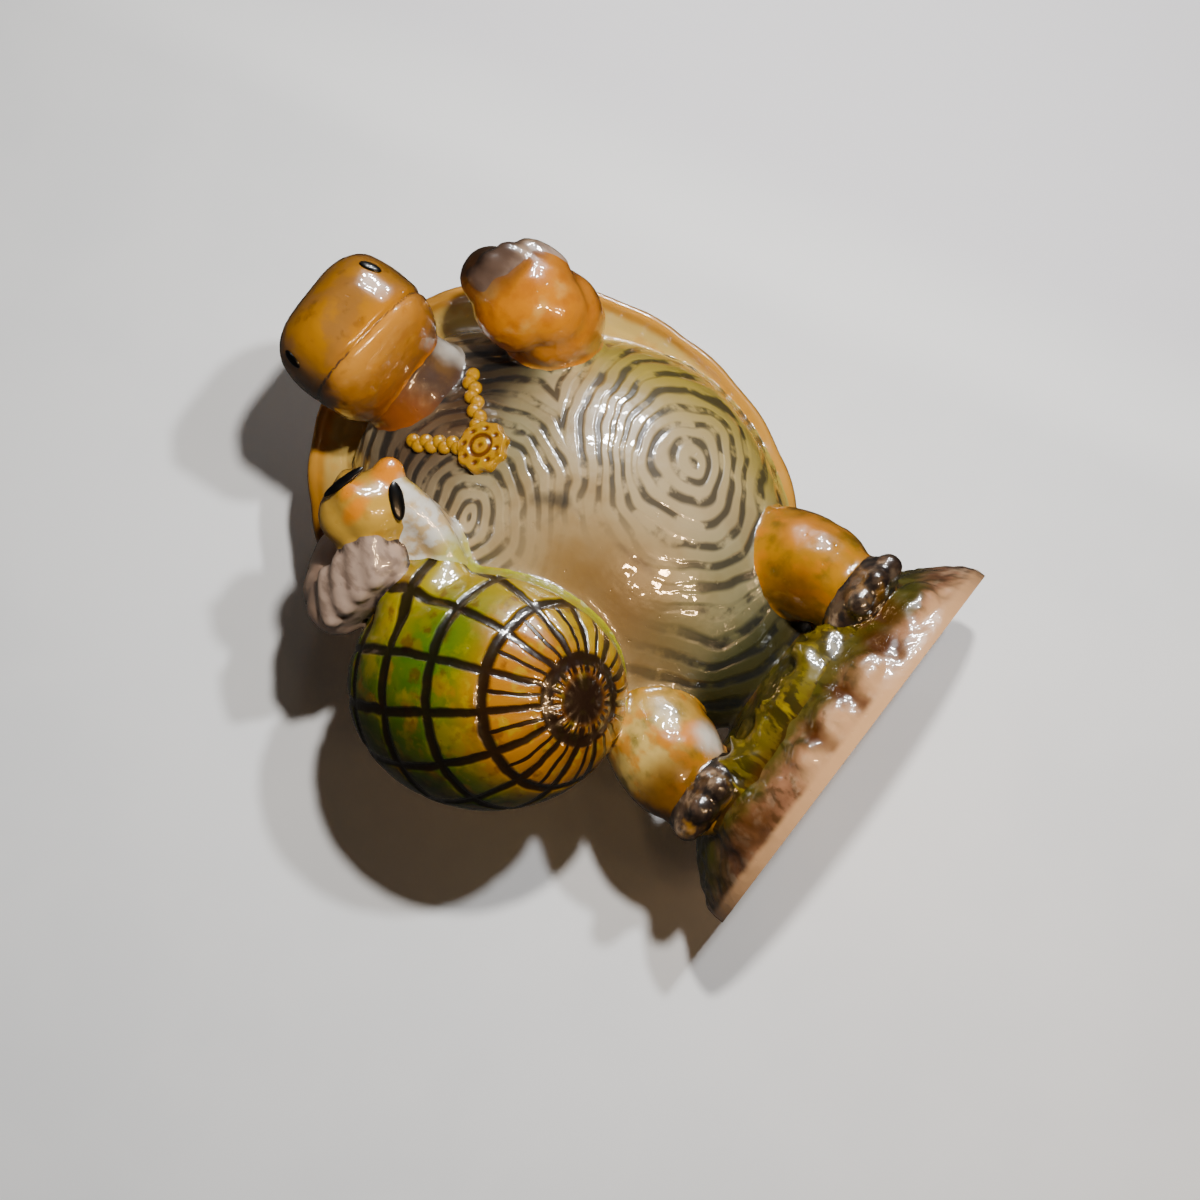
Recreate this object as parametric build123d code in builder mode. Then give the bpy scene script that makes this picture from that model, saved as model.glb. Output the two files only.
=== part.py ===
from build123d import *
import math
import os

# Turtle figurine: a big turtle stands on a rocky mound and holds a young one at its side.
# Glazed earthenware, put together from cast and hand-rolled pieces, each one its own solid here.
# Millimetres. The origin is the middle of the mound's underside, +Z is up, the belly faces -Y,
# and +X is on the right of somebody who looks at the belly.

# Whole figure
figure_height = 96.0

# Mound
mound_half_width = 31.0
mound_half_depth = 26.0
mound_height = 15.0
pour_hole_radius = 2.5
pour_hole_depth = 9.0
pour_hole_back = 14.0
stone_half_width = 4.4
stone_half_height = 3.6
grass_half_length = 10.5
grass_half_height = 3.6
blade_width = 2.2
blade_length = 7.0
blade_count = 9

# Torso: the middle plane of the turtle stands a little to the right of the mound's middle
body_x = 1.2
belly_low_z = 14.0
belly_height = 68.5
belly_half_width = 29.0
belly_depth = 24.5

# Carapace
shell_middle_z = 55.0
shell_half_width = 32.0
shell_half_height = 38.0
shell_depth = 23.0
brim_front = 3.0
brim_recess = 1.6
lip_width = 3.2
scute_groove_width = 0.9
scute_groove_depth = 0.6

# Head and neck
head_half_width = 10.2
head_half_height = 8.3
head_length = 26.0
mouth_gap = 0.7
mouth_depth = 0.7
eye_radius = 1.3
eye_length = 1.6
neck_radius = 8.2

# Arms and legs
arm_radius = 7.4
forearm_half_length = 9.4
palm_radius = 4.6
palm_half_length = 7.2
finger_radius = 2.2
finger_length = 4.8
leg_radius = 7.0
foot_half_width = 7.1
foot_half_height = 3.6
toe_radius = 2.4
toe_length = 5.4

# Pendant
medallion_radius = 3.9
medallion_thickness = 2.4
medallion_ring_radius = 1.5
medallion_ring_width = 0.5
medallion_relief = 0.35
bead_width = 1.8
bead_length = 1.2
bead_count = 6
beads_hidden = 3

# Young turtle
young_pole_half = 20.0
young_round_half = 16.4
young_rim_width = 3.0
young_rim_height = 0.5
young_head_half_length = 7.2
young_head_half_width = 5.9
young_snout_radius = 2.7
young_neck_radius = 3.6

# Cuts run past what they cut by this much
overrun = 20.0


def place(x_share, y_share, z_share):
    """A place in the figure: outwards from the middle plane, forward, and up, as shares."""
    return (
        body_x + x_share * shell_half_width,
        -y_share * belly_depth,
        z_share * figure_height,
    )


# Where the sections of an egg lie along its half length
ball_shares = (-0.98, -0.85, -0.5, 0.0, 0.5, 0.85, 0.98)


def egg(middle, halves, turn=(0, 0, 0)):
    """A ball stretched to three half sizes, turned, then put at its middle."""
    return Pos(*middle) * Rot(*turn) * scale(Sphere(1), by=halves)


def round_form(start, end, sizes):
    """A round form along the line from start to end; sizes are (share of the way, radius)."""
    start, end = Vector(*start), Vector(*end)
    with BuildPart() as form:
        for share, radius in sizes:
            with BuildSketch(Plane(origin=start + (end - start) * share, z_dir=end - start)):
                Circle(radius)
        loft()
    return form.part


def ball_form(middle, direction, along_half, round_half):
    """An egg that is round about a direction."""
    reach = Vector(*direction).normalized() * along_half
    middle = Vector(*middle)
    sizes = [((1 + share) / 2, round_half * math.sqrt(1 - share**2)) for share in ball_shares]
    return round_form(middle - reach, middle + reach, sizes)


# Belly sections from low to high: height, half width and depth as shares of the belly's own
belly_shares = (
    (0.0, 0.30, 0.36),
    (0.12, 0.58, 0.64),
    (0.25, 0.80, 0.85),
    (0.38, 0.94, 0.97),
    (0.52, 1.0, 1.0),
    (0.66, 0.94, 0.92),
    (0.79, 0.80, 0.77),
    (0.90, 0.64, 0.62),
    (1.0, 0.44, 0.44),
)


def belly_size(z):
    """Half width and depth of the belly at a height."""
    share = min(max((z - belly_low_z) / belly_height, 0.0), 1.0)
    for low, high in zip(belly_shares, belly_shares[1:]):
        if share <= high[0]:
            part_way = (share - low[0]) / (high[0] - low[0])
            width_share = low[1] + (high[1] - low[1]) * part_way
            depth_share = low[2] + (high[2] - low[2]) * part_way
            return belly_half_width * width_share, belly_depth * depth_share
    return belly_half_width * belly_shares[-1][1], belly_depth * belly_shares[-1][2]


def belly_front(x, z):
    """The y of the belly's surface in front, at a place seen from the front."""
    half_width, depth = belly_size(z)
    return -depth * math.sqrt(max(1 - ((x - body_x) / half_width) ** 2, 0))


# The mound is a stack of ellipses with stones round its foot; both ends flare out plain.
# A stone's way round counts from the right-hand end; then come its height, width and tallness.
mound_shares = ((0.0, 1.0), (0.09, 1.005), (0.27, 0.955), (0.63, 0.80), (0.87, 0.62), (1.0, 0.40))
stone_shares = (
    (-0.133, 0.30, 1.60, 1.25),
    (-0.214, 0.27, 1.00, 1.05),
    (-0.254, 0.26, 0.90, 1.00),
    (-0.290, 0.24, 0.95, 0.90),
    (-0.366, 0.32, 1.70, 1.30),
    (0.070, 0.32, 1.35, 1.10),
    (0.158, 0.30, 1.45, 1.25),
    (0.250, 0.28, 1.30, 1.10),
    (0.338, 0.32, 1.50, 1.25),
    (0.430, 0.28, 1.30, 1.05),
)
stone_forms = [
    ball_form(
        ((mound_half_width - width_share * stone_half_width) * math.cos(2 * math.pi * turn_share),
         (mound_half_depth - width_share * stone_half_width) * math.sin(2 * math.pi * turn_share),
         height_share * mound_height),
        (0, 0, 1), tall_share * stone_half_height, width_share * stone_half_width,
    )
    for turn_share, height_share, width_share, tall_share in stone_shares
]

with BuildPart() as base_mound:
    for height_share, size_share in mound_shares:
        with BuildSketch(Plane.XY.offset(height_share * mound_height)):
            Ellipse(size_share * mound_half_width, size_share * mound_half_depth)
    loft()
    for stone in stone_forms:
        add(stone)
    with BuildSketch(Plane.XY):
        with Locations((0, pour_hole_back)):
            Circle(pour_hole_radius)
    extrude(amount=pour_hole_depth, mode=Mode.SUBTRACT)

# Belly and chest: a stack of ellipses, kept in front of the brim's floor
rim_floor_y = -brim_front + brim_recess

with BuildPart() as plastron:
    for height_share, width_share, depth_share in belly_shares:
        with BuildSketch(Plane.XY.offset(belly_low_z + height_share * belly_height)):
            with Locations((body_x, 0)):
                Ellipse(width_share * belly_half_width, depth_share * belly_depth)
    loft()
    split(bisect_by=Plane.XZ.offset(-rim_floor_y), keep=Keep.TOP)
    add(base_mound.part, mode=Mode.SUBTRACT)


# Back shell: half of a long egg with a brim in front; shallow grooves part its scutes
shell_middle = (body_x, 0, shell_middle_z)
shell_form = egg(shell_middle, (shell_half_width, shell_depth, shell_half_height))
scute_floor_form = egg(
    shell_middle,
    (shell_half_width - scute_groove_depth,
     shell_depth - scute_groove_depth,
     shell_half_height - scute_groove_depth),
)
spine_joint_share = 0.20
spine_waist_share = 0.32
spine_level_shares = (-0.72, -0.42, -0.10, 0.22, 0.52, 0.74)
marginal_share = 0.80
marginal_root_share = 0.78
marginal_count = 22


def scute_point(x_share, z_share):
    """A place on the shell's back, seen from behind, as shares of its half width and height."""
    return x_share * shell_half_width, z_share * shell_half_height


# Each groove is a line between two places: the spine scutes are six-sided, the side scutes meet
# them at their waists, and short lines part the scutes round the edge
groove_lines = []
for low, high in zip(spine_level_shares, spine_level_shares[1:]):
    waist = (low + high) / 2
    reach_share = math.sqrt(marginal_share**2 - waist**2) if abs(waist) < marginal_share else 0
    groove_lines.append((scute_point(-spine_joint_share, low), scute_point(spine_joint_share, low)))
    for side in (-1, 1):
        groove_lines.append(
            (scute_point(side * spine_joint_share, low), scute_point(side * spine_waist_share, waist)))
        groove_lines.append(
            (scute_point(side * spine_waist_share, waist), scute_point(side * spine_joint_share, high)))
        groove_lines.append(
            (scute_point(side * spine_waist_share, waist), scute_point(side * reach_share, waist)))
for index in range(marginal_count):
    angle = 2 * math.pi * (index + 0.5) / marginal_count
    groove_lines.append(
        (scute_point(marginal_root_share * math.cos(angle), marginal_root_share * math.sin(angle)),
         scute_point(math.cos(angle), math.sin(angle))))

with BuildPart() as scute_grooves:
    with BuildSketch(Plane(origin=shell_middle, x_dir=(1, 0, 0), z_dir=(0, -1, 0))):
        Ellipse(marginal_share * shell_half_width, marginal_share * shell_half_height)
        Ellipse(
            marginal_share * shell_half_width - scute_groove_width,
            marginal_share * shell_half_height - scute_groove_width,
            mode=Mode.SUBTRACT,
        )
        for start, end in groove_lines:
            with BuildLine():
                Line(start, end)
            trace(line_width=scute_groove_width)
    extrude(amount=-shell_depth - overrun)
    add(scute_floor_form, mode=Mode.SUBTRACT)

with BuildPart() as carapace:
    add(shell_form)
    split(bisect_by=Plane.XZ.offset(brim_front), keep=Keep.BOTTOM)
    with BuildSketch(Plane(origin=(body_x, -brim_front, shell_middle_z), x_dir=(1, 0, 0), z_dir=(0, -1, 0))):
        Ellipse(shell_half_width - lip_width, shell_half_height - lip_width)
    extrude(amount=-brim_recess, mode=Mode.SUBTRACT)
    add(scute_grooves.part, mode=Mode.SUBTRACT)
    add(plastron.part, mode=Mode.SUBTRACT)
    add(base_mound.part, mode=Mode.SUBTRACT)

# Legs stand on the mound and run up under the belly; each foot ends in a row of toes
hip_shares = {"left": (0.36, 0.22, 0.34), "right": (-0.40, 0.20, 0.34)}
ankle_shares = {"left": (0.455, 0.60, 0.095), "right": (-0.70, 0.55, 0.095)}
leg_swell_shares = ((0.0, 0.30), (0.06, 0.62), (0.20, 0.90), (0.45, 1.08), (0.75, 0.98), (0.94, 0.70), (1.0, 0.40))
foot_shares = {"left": (0.445, 0.59, 0.127), "right": (-0.62, 0.53, 0.130)}
toe_spread = {"left": (-58.0, -20.0, 18.0), "right": (-18.0, 20.0, 58.0)}
toe_root_share = 0.45
toe_dip_share = 0.12
digit_taper = 8.0


def swell(table, radius):
    """Places along a limb with their radii."""
    return [(share, size * radius) for share, size in table]


leg_forms = {
    side: round_form(
        place(*hip_shares[side]), place(*ankle_shares[side]), swell(leg_swell_shares, leg_radius))
    for side in ("left", "right")
}
foot_forms = {
    side: ball_form(place(*foot_shares[side]), (0, 0, 1), foot_half_height, foot_half_width)
    for side in ("left", "right")
}

with BuildPart() as left_leg:
    add(leg_forms["left"])
    for other in (plastron, carapace, base_mound):
        add(other.part, mode=Mode.SUBTRACT)

with BuildPart() as right_leg:
    add(leg_forms["right"])
    for other in (plastron, carapace, base_mound):
        add(other.part, mode=Mode.SUBTRACT)


def digit(root, direction, radius, length):
    """A blunt toe or finger: it tapers from its root and ends flat."""
    with BuildPart() as form:
        with BuildSketch(Plane(origin=root, z_dir=direction)):
            Circle(radius)
        extrude(amount=length, taper=digit_taper)
    return form.part


# Toes fan out from under the front of each foot; an angle counts from straight ahead
toe_forms = {}
for side, angles in toe_spread.items():
    toe_forms[side] = []
    for angle in angles:
        ahead = Vector(-math.sin(math.radians(angle)), -math.cos(math.radians(angle)), -toe_dip_share)
        root = Vector(*place(*foot_shares[side])) + ahead * (foot_half_width * toe_root_share)
        toe_forms[side].append(digit(root, ahead, toe_radius, toe_length))

with BuildPart() as left_foot:
    add(foot_forms["left"])
    for toe in toe_forms["left"]:
        add(toe)
    for other in (left_leg, plastron, base_mound):
        add(other.part, mode=Mode.SUBTRACT)

with BuildPart() as right_foot:
    add(foot_forms["right"])
    for toe in toe_forms["right"]:
        add(toe)
    for other in (right_leg, plastron, base_mound):
        add(other.part, mode=Mode.SUBTRACT)

# Grass between the feet: a low ridge with flat, pointed blades that lean both ways
grass_share = (-0.10, 0.70, 0.130)
blade_lean = 28.0
grass_form = ball_form(place(*grass_share), (1, 0, -0.14), grass_half_length, grass_half_height)

with BuildPart() as grass_tuft:
    add(grass_form)
    for index in range(blade_count):
        along_share = 2 * index / (blade_count - 1) - 1
        root = Vector(*place(*grass_share)) + Vector(
            along_share * (grass_half_length - blade_width), -grass_half_height / 2, -grass_half_height / 2)
        lean = Rot(Y=blade_lean * (-1) ** index)
        blade_plane = Plane(Pos(*root) * lean)
        with BuildSketch(blade_plane):
            Rectangle(blade_width, blade_width / 2)
        with BuildSketch(blade_plane.offset(blade_length)):
            Rectangle(blade_width / 5, blade_width / 5)
        loft()
    for other in (base_mound, plastron, left_leg, right_leg, left_foot, right_foot):
        add(other.part, mode=Mode.SUBTRACT)

# Neck and head: the head is a stack of rounded sections from its back to its snout
neck_low_share = (0.06, 0.15, 0.70)
neck_high_share = (0.022, 0.72, 0.955)
neck_swell_shares = ((0.0, 0.60), (0.30, 1.10), (0.60, 1.0), (0.88, 0.72), (1.0, 0.40))
neck_form = round_form(
    place(*neck_low_share), place(*neck_high_share), swell(neck_swell_shares, neck_radius))
head_share = (0.022, 0.33, 0.9125)
# Along the head's length: how far, then the half width, half height and drop of the section
head_section_shares = (
    (0.0, 0.62, 0.62, 0.0),
    (0.12, 0.88, 0.90, 0.0),
    (0.32, 0.99, 1.0, 0.0),
    (0.58, 1.0, 1.0, 0.0),
    (0.80, 0.88, 0.86, 0.04),
    (0.94, 0.62, 0.60, 0.10),
    (1.0, 0.34, 0.32, 0.14),
)
# A section has four bowed sides that meet at full corners
corner_share = 0.80


def head_form(inset):
    """The head's solid, smaller all round by an inset."""
    with BuildPart() as form:
        for along, wide, high, drop in head_section_shares:
            x, y, z = place(*head_share)
            middle = (x, y - along * head_length, z - drop * head_half_height)
            half_width = wide * head_half_width - inset
            half_height = high * head_half_height - inset
            side, top = corner_share * half_width, corner_share * half_height
            with BuildSketch(Plane(origin=middle, x_dir=(1, 0, 0), z_dir=(0, -1, 0))):
                with BuildLine():
                    ThreePointArc((side, -top), (half_width, 0), (side, top))
                    ThreePointArc((side, top), (0, half_height), (-side, top))
                    ThreePointArc((-side, top), (-half_width, 0), (-side, -top))
                    ThreePointArc((-side, -top), (0, -half_height), (side, -top))
                make_face()
        loft()
    return form.part


mouth_drop_share = 0.30
mouth_reach_share = 0.80
head_full = head_form(0)
head_inner = head_form(mouth_depth)
eye_shares = ((-0.222, 0.90, 0.957), (0.266, 0.90, 0.954))
eye_directions = ((-0.80, -0.45, 0.40), (0.80, -0.45, 0.40))
eye_forms = [
    digit(Vector(*place(*share)), direction, eye_radius, eye_length)
    for share, direction in zip(eye_shares, eye_directions)
]

with BuildPart() as mouth_line:
    x, y, z = place(*head_share)
    with Locations((x, y - head_length, z - mouth_drop_share * head_half_height)):
        Box(4 * head_half_width, 2 * mouth_reach_share * head_length, mouth_gap)
    add(head_inner, mode=Mode.SUBTRACT)

with BuildPart() as neck:
    add(neck_form)
    for other in (plastron, carapace):
        add(other.part, mode=Mode.SUBTRACT)

with BuildPart() as head:
    add(head_full)
    add(mouth_line.part, mode=Mode.SUBTRACT)
    for eye in eye_forms:
        add(eye)
    for other in (neck, plastron, carapace):
        add(other.part, mode=Mode.SUBTRACT)

# Arms: the left one is raised beside the head, the right one goes round the young turtle
arm_swell_shares = ((0.0, 0.30), (0.06, 0.60), (0.20, 0.86), (0.50, 1.0), (0.80, 0.90), (0.94, 0.62), (1.0, 0.30))
left_shoulder_share = (0.60, 0.05, 0.735)
left_elbow_share = (0.60, 1.10, 0.705)
left_forearm_share = (0.575, 0.92, 0.745)
forearm_direction = (-0.10, -0.12, 1.0)
left_palm_share = (0.60, 1.0, 0.795)
left_finger_shares = ((0.53, 1.06, 0.786), (0.605, 1.10, 0.782), (0.68, 1.10, 0.772), (0.75, 1.04, 0.758))
left_finger_direction = (-0.22, -0.50, 1.0)
right_shoulder_share = (-0.50, 0.10, 0.76)
right_wrist_share = (-0.97, 0.66, 0.70)
right_palm_share = (-0.80, 0.86, 0.690)
right_palm_direction = (0.85, -0.48, -0.36)
right_finger_shares = ((-0.92, 0.92, 0.707), (-0.78, 1.04, 0.688), (-0.655, 1.12, 0.668))
right_finger_direction = (0.66, -0.50, 0.50)
right_arm_share = 0.86
right_palm_round_share = 0.88


def fingers(shares, direction):
    """A row of fingers whose roots are given as places."""
    return [digit(Vector(*place(*share)), direction, finger_radius, finger_length) for share in shares]


left_upper_form = round_form(
    place(*left_shoulder_share), place(*left_elbow_share), swell(arm_swell_shares, arm_radius))
left_fore_form = ball_form(
    place(*left_forearm_share), forearm_direction, forearm_half_length, arm_radius)
right_upper_form = round_form(
    place(*right_shoulder_share), place(*right_wrist_share),
    swell(arm_swell_shares, right_arm_share * arm_radius))
left_palm_form = ball_form(place(*left_palm_share), forearm_direction, palm_radius, palm_radius)
right_palm_form = ball_form(
    place(*right_palm_share), right_palm_direction, palm_half_length, right_palm_round_share * palm_radius)
left_fingers = fingers(left_finger_shares, left_finger_direction)
right_fingers = fingers(right_finger_shares, right_finger_direction)

with BuildPart() as left_arm:
    add(left_upper_form)
    add(left_fore_form)
    for other in (plastron, carapace, neck, head):
        add(other.part, mode=Mode.SUBTRACT)

with BuildPart() as left_hand:
    add(left_palm_form)
    for finger in left_fingers:
        add(finger)
    for other in (left_arm, head):
        add(other.part, mode=Mode.SUBTRACT)

# Young turtle: its shell is an egg that is round about the line to a place low in front
young_share = (-0.825, 0.653, 0.462)
young_pole_shares = (0.44, -0.50, -0.75)
young_middle = place(*young_share)
young_form = ball_form(young_middle, young_pole_shares, young_pole_half, young_round_half)

# The pale rim where the young shell meets the belly: what of a slightly larger egg lies near the belly
with BuildPart() as belly_skin:
    for height_share, width_share, depth_share in belly_shares:
        with BuildSketch(Plane.XY.offset(belly_low_z + height_share * belly_height)):
            with Locations((body_x, 0)):
                Ellipse(
                    width_share * belly_half_width + young_rim_width,
                    depth_share * belly_depth + young_rim_width,
                )
    loft()

young_rim_form = ball_form(
    young_middle, young_pole_shares,
    young_pole_half + young_rim_height, young_round_half + young_rim_height)

with BuildPart() as young_shell:
    add(young_form)
    for other in (belly_skin, carapace, left_leg, right_leg):
        add(other.part, mode=Mode.SUBTRACT)

with BuildPart() as young_rim:
    add(young_rim_form)
    add(belly_skin.part, mode=Mode.INTERSECT)
    for other in (plastron, carapace, right_leg):
        add(other.part, mode=Mode.SUBTRACT)

young_head_share = (-0.53, 1.06, 0.733)
young_head_direction = (0.93, -0.15, -0.34)
young_snout_share = (-0.375, 1.10, 0.715)
young_neck_low_share = (-0.50, 0.72, 0.60)
young_neck_high_share = (-0.44, 1.05, 0.735)
young_neck_swell_shares = ((0.0, 0.90), (0.30, 1.05), (0.70, 1.0), (1.0, 0.70))
young_neck_form = round_form(
    place(*young_neck_low_share), place(*young_neck_high_share),
    swell(young_neck_swell_shares, young_neck_radius))
young_snout_form = ball_form(
    place(*young_snout_share), young_head_direction, young_snout_radius, young_snout_radius)
young_head_form = ball_form(
    place(*young_head_share), young_head_direction, young_head_half_length, young_head_half_width)

with BuildPart() as young_neck:
    add(young_neck_form)
    for other in (young_shell, young_rim, plastron):
        add(other.part, mode=Mode.SUBTRACT)

with BuildPart() as young_head:
    add(young_head_form)
    add(young_snout_form)
    for other in (young_neck, young_shell, young_rim, plastron):
        add(other.part, mode=Mode.SUBTRACT)

with BuildPart() as right_arm:
    add(right_upper_form)
    for other in (plastron, carapace, young_shell, young_rim, young_head, young_neck):
        add(other.part, mode=Mode.SUBTRACT)

with BuildPart() as right_hand:
    add(right_palm_form)
    for finger in right_fingers:
        add(finger)
    for other in (right_arm, plastron, carapace, young_shell, young_rim, young_head, young_neck):
        add(other.part, mode=Mode.SUBTRACT)

# Pendant: a disc lies on the chest with two strands of beads that run up to the neck
medallion_share = (-0.034, 0.668)
strand_end_shares = {"left": (-0.181, 0.765), "right": (0.20, 0.760)}


def chest_place(x_share, z_share):
    """A place on the chest's surface, seen from the front, and the way the surface faces there."""
    x, y, z = place(x_share, 0, z_share)
    step = medallion_radius
    right = Vector(2 * step, belly_front(x + step, z) - belly_front(x - step, z), 0)
    above = Vector(0, belly_front(x, z + step) - belly_front(x, z - step), 2 * step)
    return Vector(x, belly_front(x, z), z), right.cross(above).normalized()


medallion_middle, medallion_facing = chest_place(*medallion_share)
medallion_back = Plane(
    origin=medallion_middle - medallion_facing * (medallion_thickness / 2), z_dir=medallion_facing)

with BuildPart() as medallion:
    with BuildSketch(medallion_back):
        Circle(medallion_radius)
    extrude(amount=medallion_thickness)
    chamfer(medallion.edges().filter_by(GeomType.CIRCLE).sort_by(Axis.Y)[0], medallion_relief)
    with BuildSketch(medallion_back.offset(medallion_thickness)):
        Circle(medallion_ring_radius)
        Circle(medallion_ring_radius - medallion_ring_width, mode=Mode.SUBTRACT)
    extrude(amount=-medallion_relief, mode=Mode.SUBTRACT)
    add(plastron.part, mode=Mode.SUBTRACT)


def strand(end_share):
    """Beads in a row on the chest, from the medallion's edge to a place beside the neck."""
    beads = []
    for index in range(bead_count):
        share = (index + beads_hidden) / (bead_count + beads_hidden - 1)
        x_share = medallion_share[0] + (end_share[0] - medallion_share[0]) * share
        z_share = medallion_share[1] + (end_share[1] - medallion_share[1]) * share
        beads.append(chest_place(x_share, z_share))
    with BuildPart() as form:
        for (low, facing), (high, next_facing) in zip(beads, beads[1:]):
            along = high - low
            middle = Plane(origin=low + facing * (bead_width / 3), x_dir=facing, z_dir=along)
            with BuildSketch(middle):
                Rectangle(bead_width, bead_width)
            extrude(amount=bead_length / 2, both=True)
            with BuildSketch(middle):
                Rectangle(bead_width / 2, bead_width / 2)
            extrude(amount=along.length)
    return form.part


strand_forms = {side: strand(share) for side, share in strand_end_shares.items()}

with BuildPart() as chain_left:
    add(strand_forms["left"])
    for other in (plastron, medallion, neck, head):
        add(other.part, mode=Mode.SUBTRACT)

with BuildPart() as chain_right:
    add(strand_forms["right"])
    for other in (plastron, medallion, neck, head, left_arm):
        add(other.part, mode=Mode.SUBTRACT)

pieces = {
    "base_mound": base_mound,
    "grass_tuft": grass_tuft,
    "plastron": plastron,
    "carapace": carapace,
    "neck": neck,
    "head": head,
    "left_arm": left_arm,
    "left_hand": left_hand,
    "right_arm": right_arm,
    "right_hand": right_hand,
    "left_leg": left_leg,
    "left_foot": left_foot,
    "right_leg": right_leg,
    "right_foot": right_foot,
    "medallion": medallion,
    "chain_left": chain_left,
    "chain_right": chain_right,
    "young_shell": young_shell,
    "young_rim": young_rim,
    "young_neck": young_neck,
    "young_head": young_head,
}

os.makedirs("parts", exist_ok=True)
for name, piece in pieces.items():
    piece.part.label = name
    export_step(piece.part, f"parts/{name}.step")
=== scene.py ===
# Turtle figurine in hand-painted glazed earthenware: the big turtle holds a young one at its side
import bpy
import math
import numpy as np
from mathutils import Matrix, Vector, noise
from mathutils.bvhtree import BVHTree


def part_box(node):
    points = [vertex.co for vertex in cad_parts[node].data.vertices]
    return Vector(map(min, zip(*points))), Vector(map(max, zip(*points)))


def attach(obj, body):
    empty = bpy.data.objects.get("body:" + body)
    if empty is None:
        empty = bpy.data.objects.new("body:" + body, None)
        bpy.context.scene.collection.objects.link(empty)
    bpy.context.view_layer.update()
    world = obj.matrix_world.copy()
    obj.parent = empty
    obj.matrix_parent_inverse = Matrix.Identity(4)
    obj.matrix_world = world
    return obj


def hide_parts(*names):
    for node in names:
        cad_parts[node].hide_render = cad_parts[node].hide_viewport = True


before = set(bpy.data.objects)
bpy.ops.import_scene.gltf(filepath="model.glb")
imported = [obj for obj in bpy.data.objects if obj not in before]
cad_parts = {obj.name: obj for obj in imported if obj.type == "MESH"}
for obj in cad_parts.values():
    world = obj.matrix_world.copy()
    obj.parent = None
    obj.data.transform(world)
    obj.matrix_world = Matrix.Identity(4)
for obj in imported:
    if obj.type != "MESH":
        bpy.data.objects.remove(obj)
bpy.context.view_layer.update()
mm = 0.001                                  # the frame is in metres, the sizes below in millimetres


def nodeBox(name):
    low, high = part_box(name)
    return np.array(low) / mm, np.array(high) / mm


shellLow, shellHigh = nodeBox("carapace")
bellyLow, bellyHigh = nodeBox("plastron")
moundLow, moundHigh = nodeBox("base_mound")
middleX = (shellLow[0] + shellHigh[0]) / 2
shellHalfWidth = (shellHigh[0] - shellLow[0]) / 2
shellHalfHeight = (shellHigh[2] - shellLow[2]) / 2
shellMiddleZ = (shellHigh[2] + shellLow[2]) / 2
shellDepth = shellHigh[1]
bellyDepth = -bellyLow[1]
figureHeight = nodeBox("head")[1][2]


def place(across, forward, up):
    # a place as shares: outwards from the middle plane, towards the viewer, and up
    return np.array([middleX + across * shellHalfWidth, -forward * bellyDepth, up * figureHeight])


def placed(rows):
    return [(*place(*row[:3]), row[3]) for row in rows]


def towards(direction):
    direction = np.array(direction, float)
    return direction / np.linalg.norm(direction)


# forms: every piece starts as one or more closed forms in millimetres

def throughPoints(rows, steps):
    # a smooth run of rows through the given ones
    rows = np.array(rows, float)
    padded = np.vstack([2 * rows[0] - rows[1], rows, 2 * rows[-1] - rows[-2]])
    part = np.linspace(0, 1, steps, endpoint=False)[:, None]
    spans = [
        0.5 * (2 * b + (c - a) * part + (2 * a - 5 * b + 4 * c - d) * part**2
               + (3 * b - a - 3 * c + d) * part**3)
        for a, b, c, d in zip(padded, padded[1:], padded[2:], padded[3:])
    ]
    return np.vstack(spans + [rows[-1:]])


def fullTurn(sides):
    return np.linspace(0, 2 * math.pi, sides, endpoint=False)


def ring(x, y, z):
    return np.stack(np.broadcast_arrays(x, y, z), axis=-1)


def skinRings(rings):
    # rings of points joined into a closed form
    rings = np.array(rings)
    count, sides = rings.shape[:2]
    index = np.arange(count * sides).reshape(count, sides)
    after = np.roll(index, -1, axis=1)
    quads = np.stack([index[:-1], after[:-1], after[1:], index[1:]], axis=-1).reshape(-1, 4)
    firstEnd = [(count * sides, int(b), int(a)) for a, b in zip(index[0], after[0])]
    lastEnd = [(count * sides + 1, int(a), int(b)) for a, b in zip(index[-1], after[-1])]
    points = np.vstack([rings.reshape(-1, 3), rings[0].mean(0), rings[-1].mean(0)])
    return points, [tuple(int(i) for i in quad) for quad in quads] + firstEnd + lastEnd


def limb(stations, steps=6, sides=28):
    # a rounded form along stations of x, y, z and radius, with a round cap at each end
    path = throughPoints(stations, steps)
    points, radii = path[:, :3], path[:, 3]
    tangents = np.gradient(points, axis=0)
    tangents /= np.linalg.norm(tangents, axis=1)[:, None]
    other = np.eye(3)[np.argmin(np.abs(points[-1] - points[0]))]
    capTurns = np.radians((12, 34, 56, 76))

    def cap(end, way, angles):
        return [(points[end] + way * tangents[end] * radii[end] * math.cos(angle), tangents[end],
                 radii[end] * math.sin(angle)) for angle in angles]

    turns = fullTurn(sides)[:, None]
    rings = []
    for centre, tangent, radius in (cap(0, -1, capTurns) + list(zip(points, tangents, radii))
                                    + cap(-1, 1, capTurns[::-1])):
        side = towards(np.cross(tangent, other))
        rings.append(centre + radius * (np.cos(turns) * side + np.sin(turns) * np.cross(tangent, side)))
    return skinRings(rings)


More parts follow.
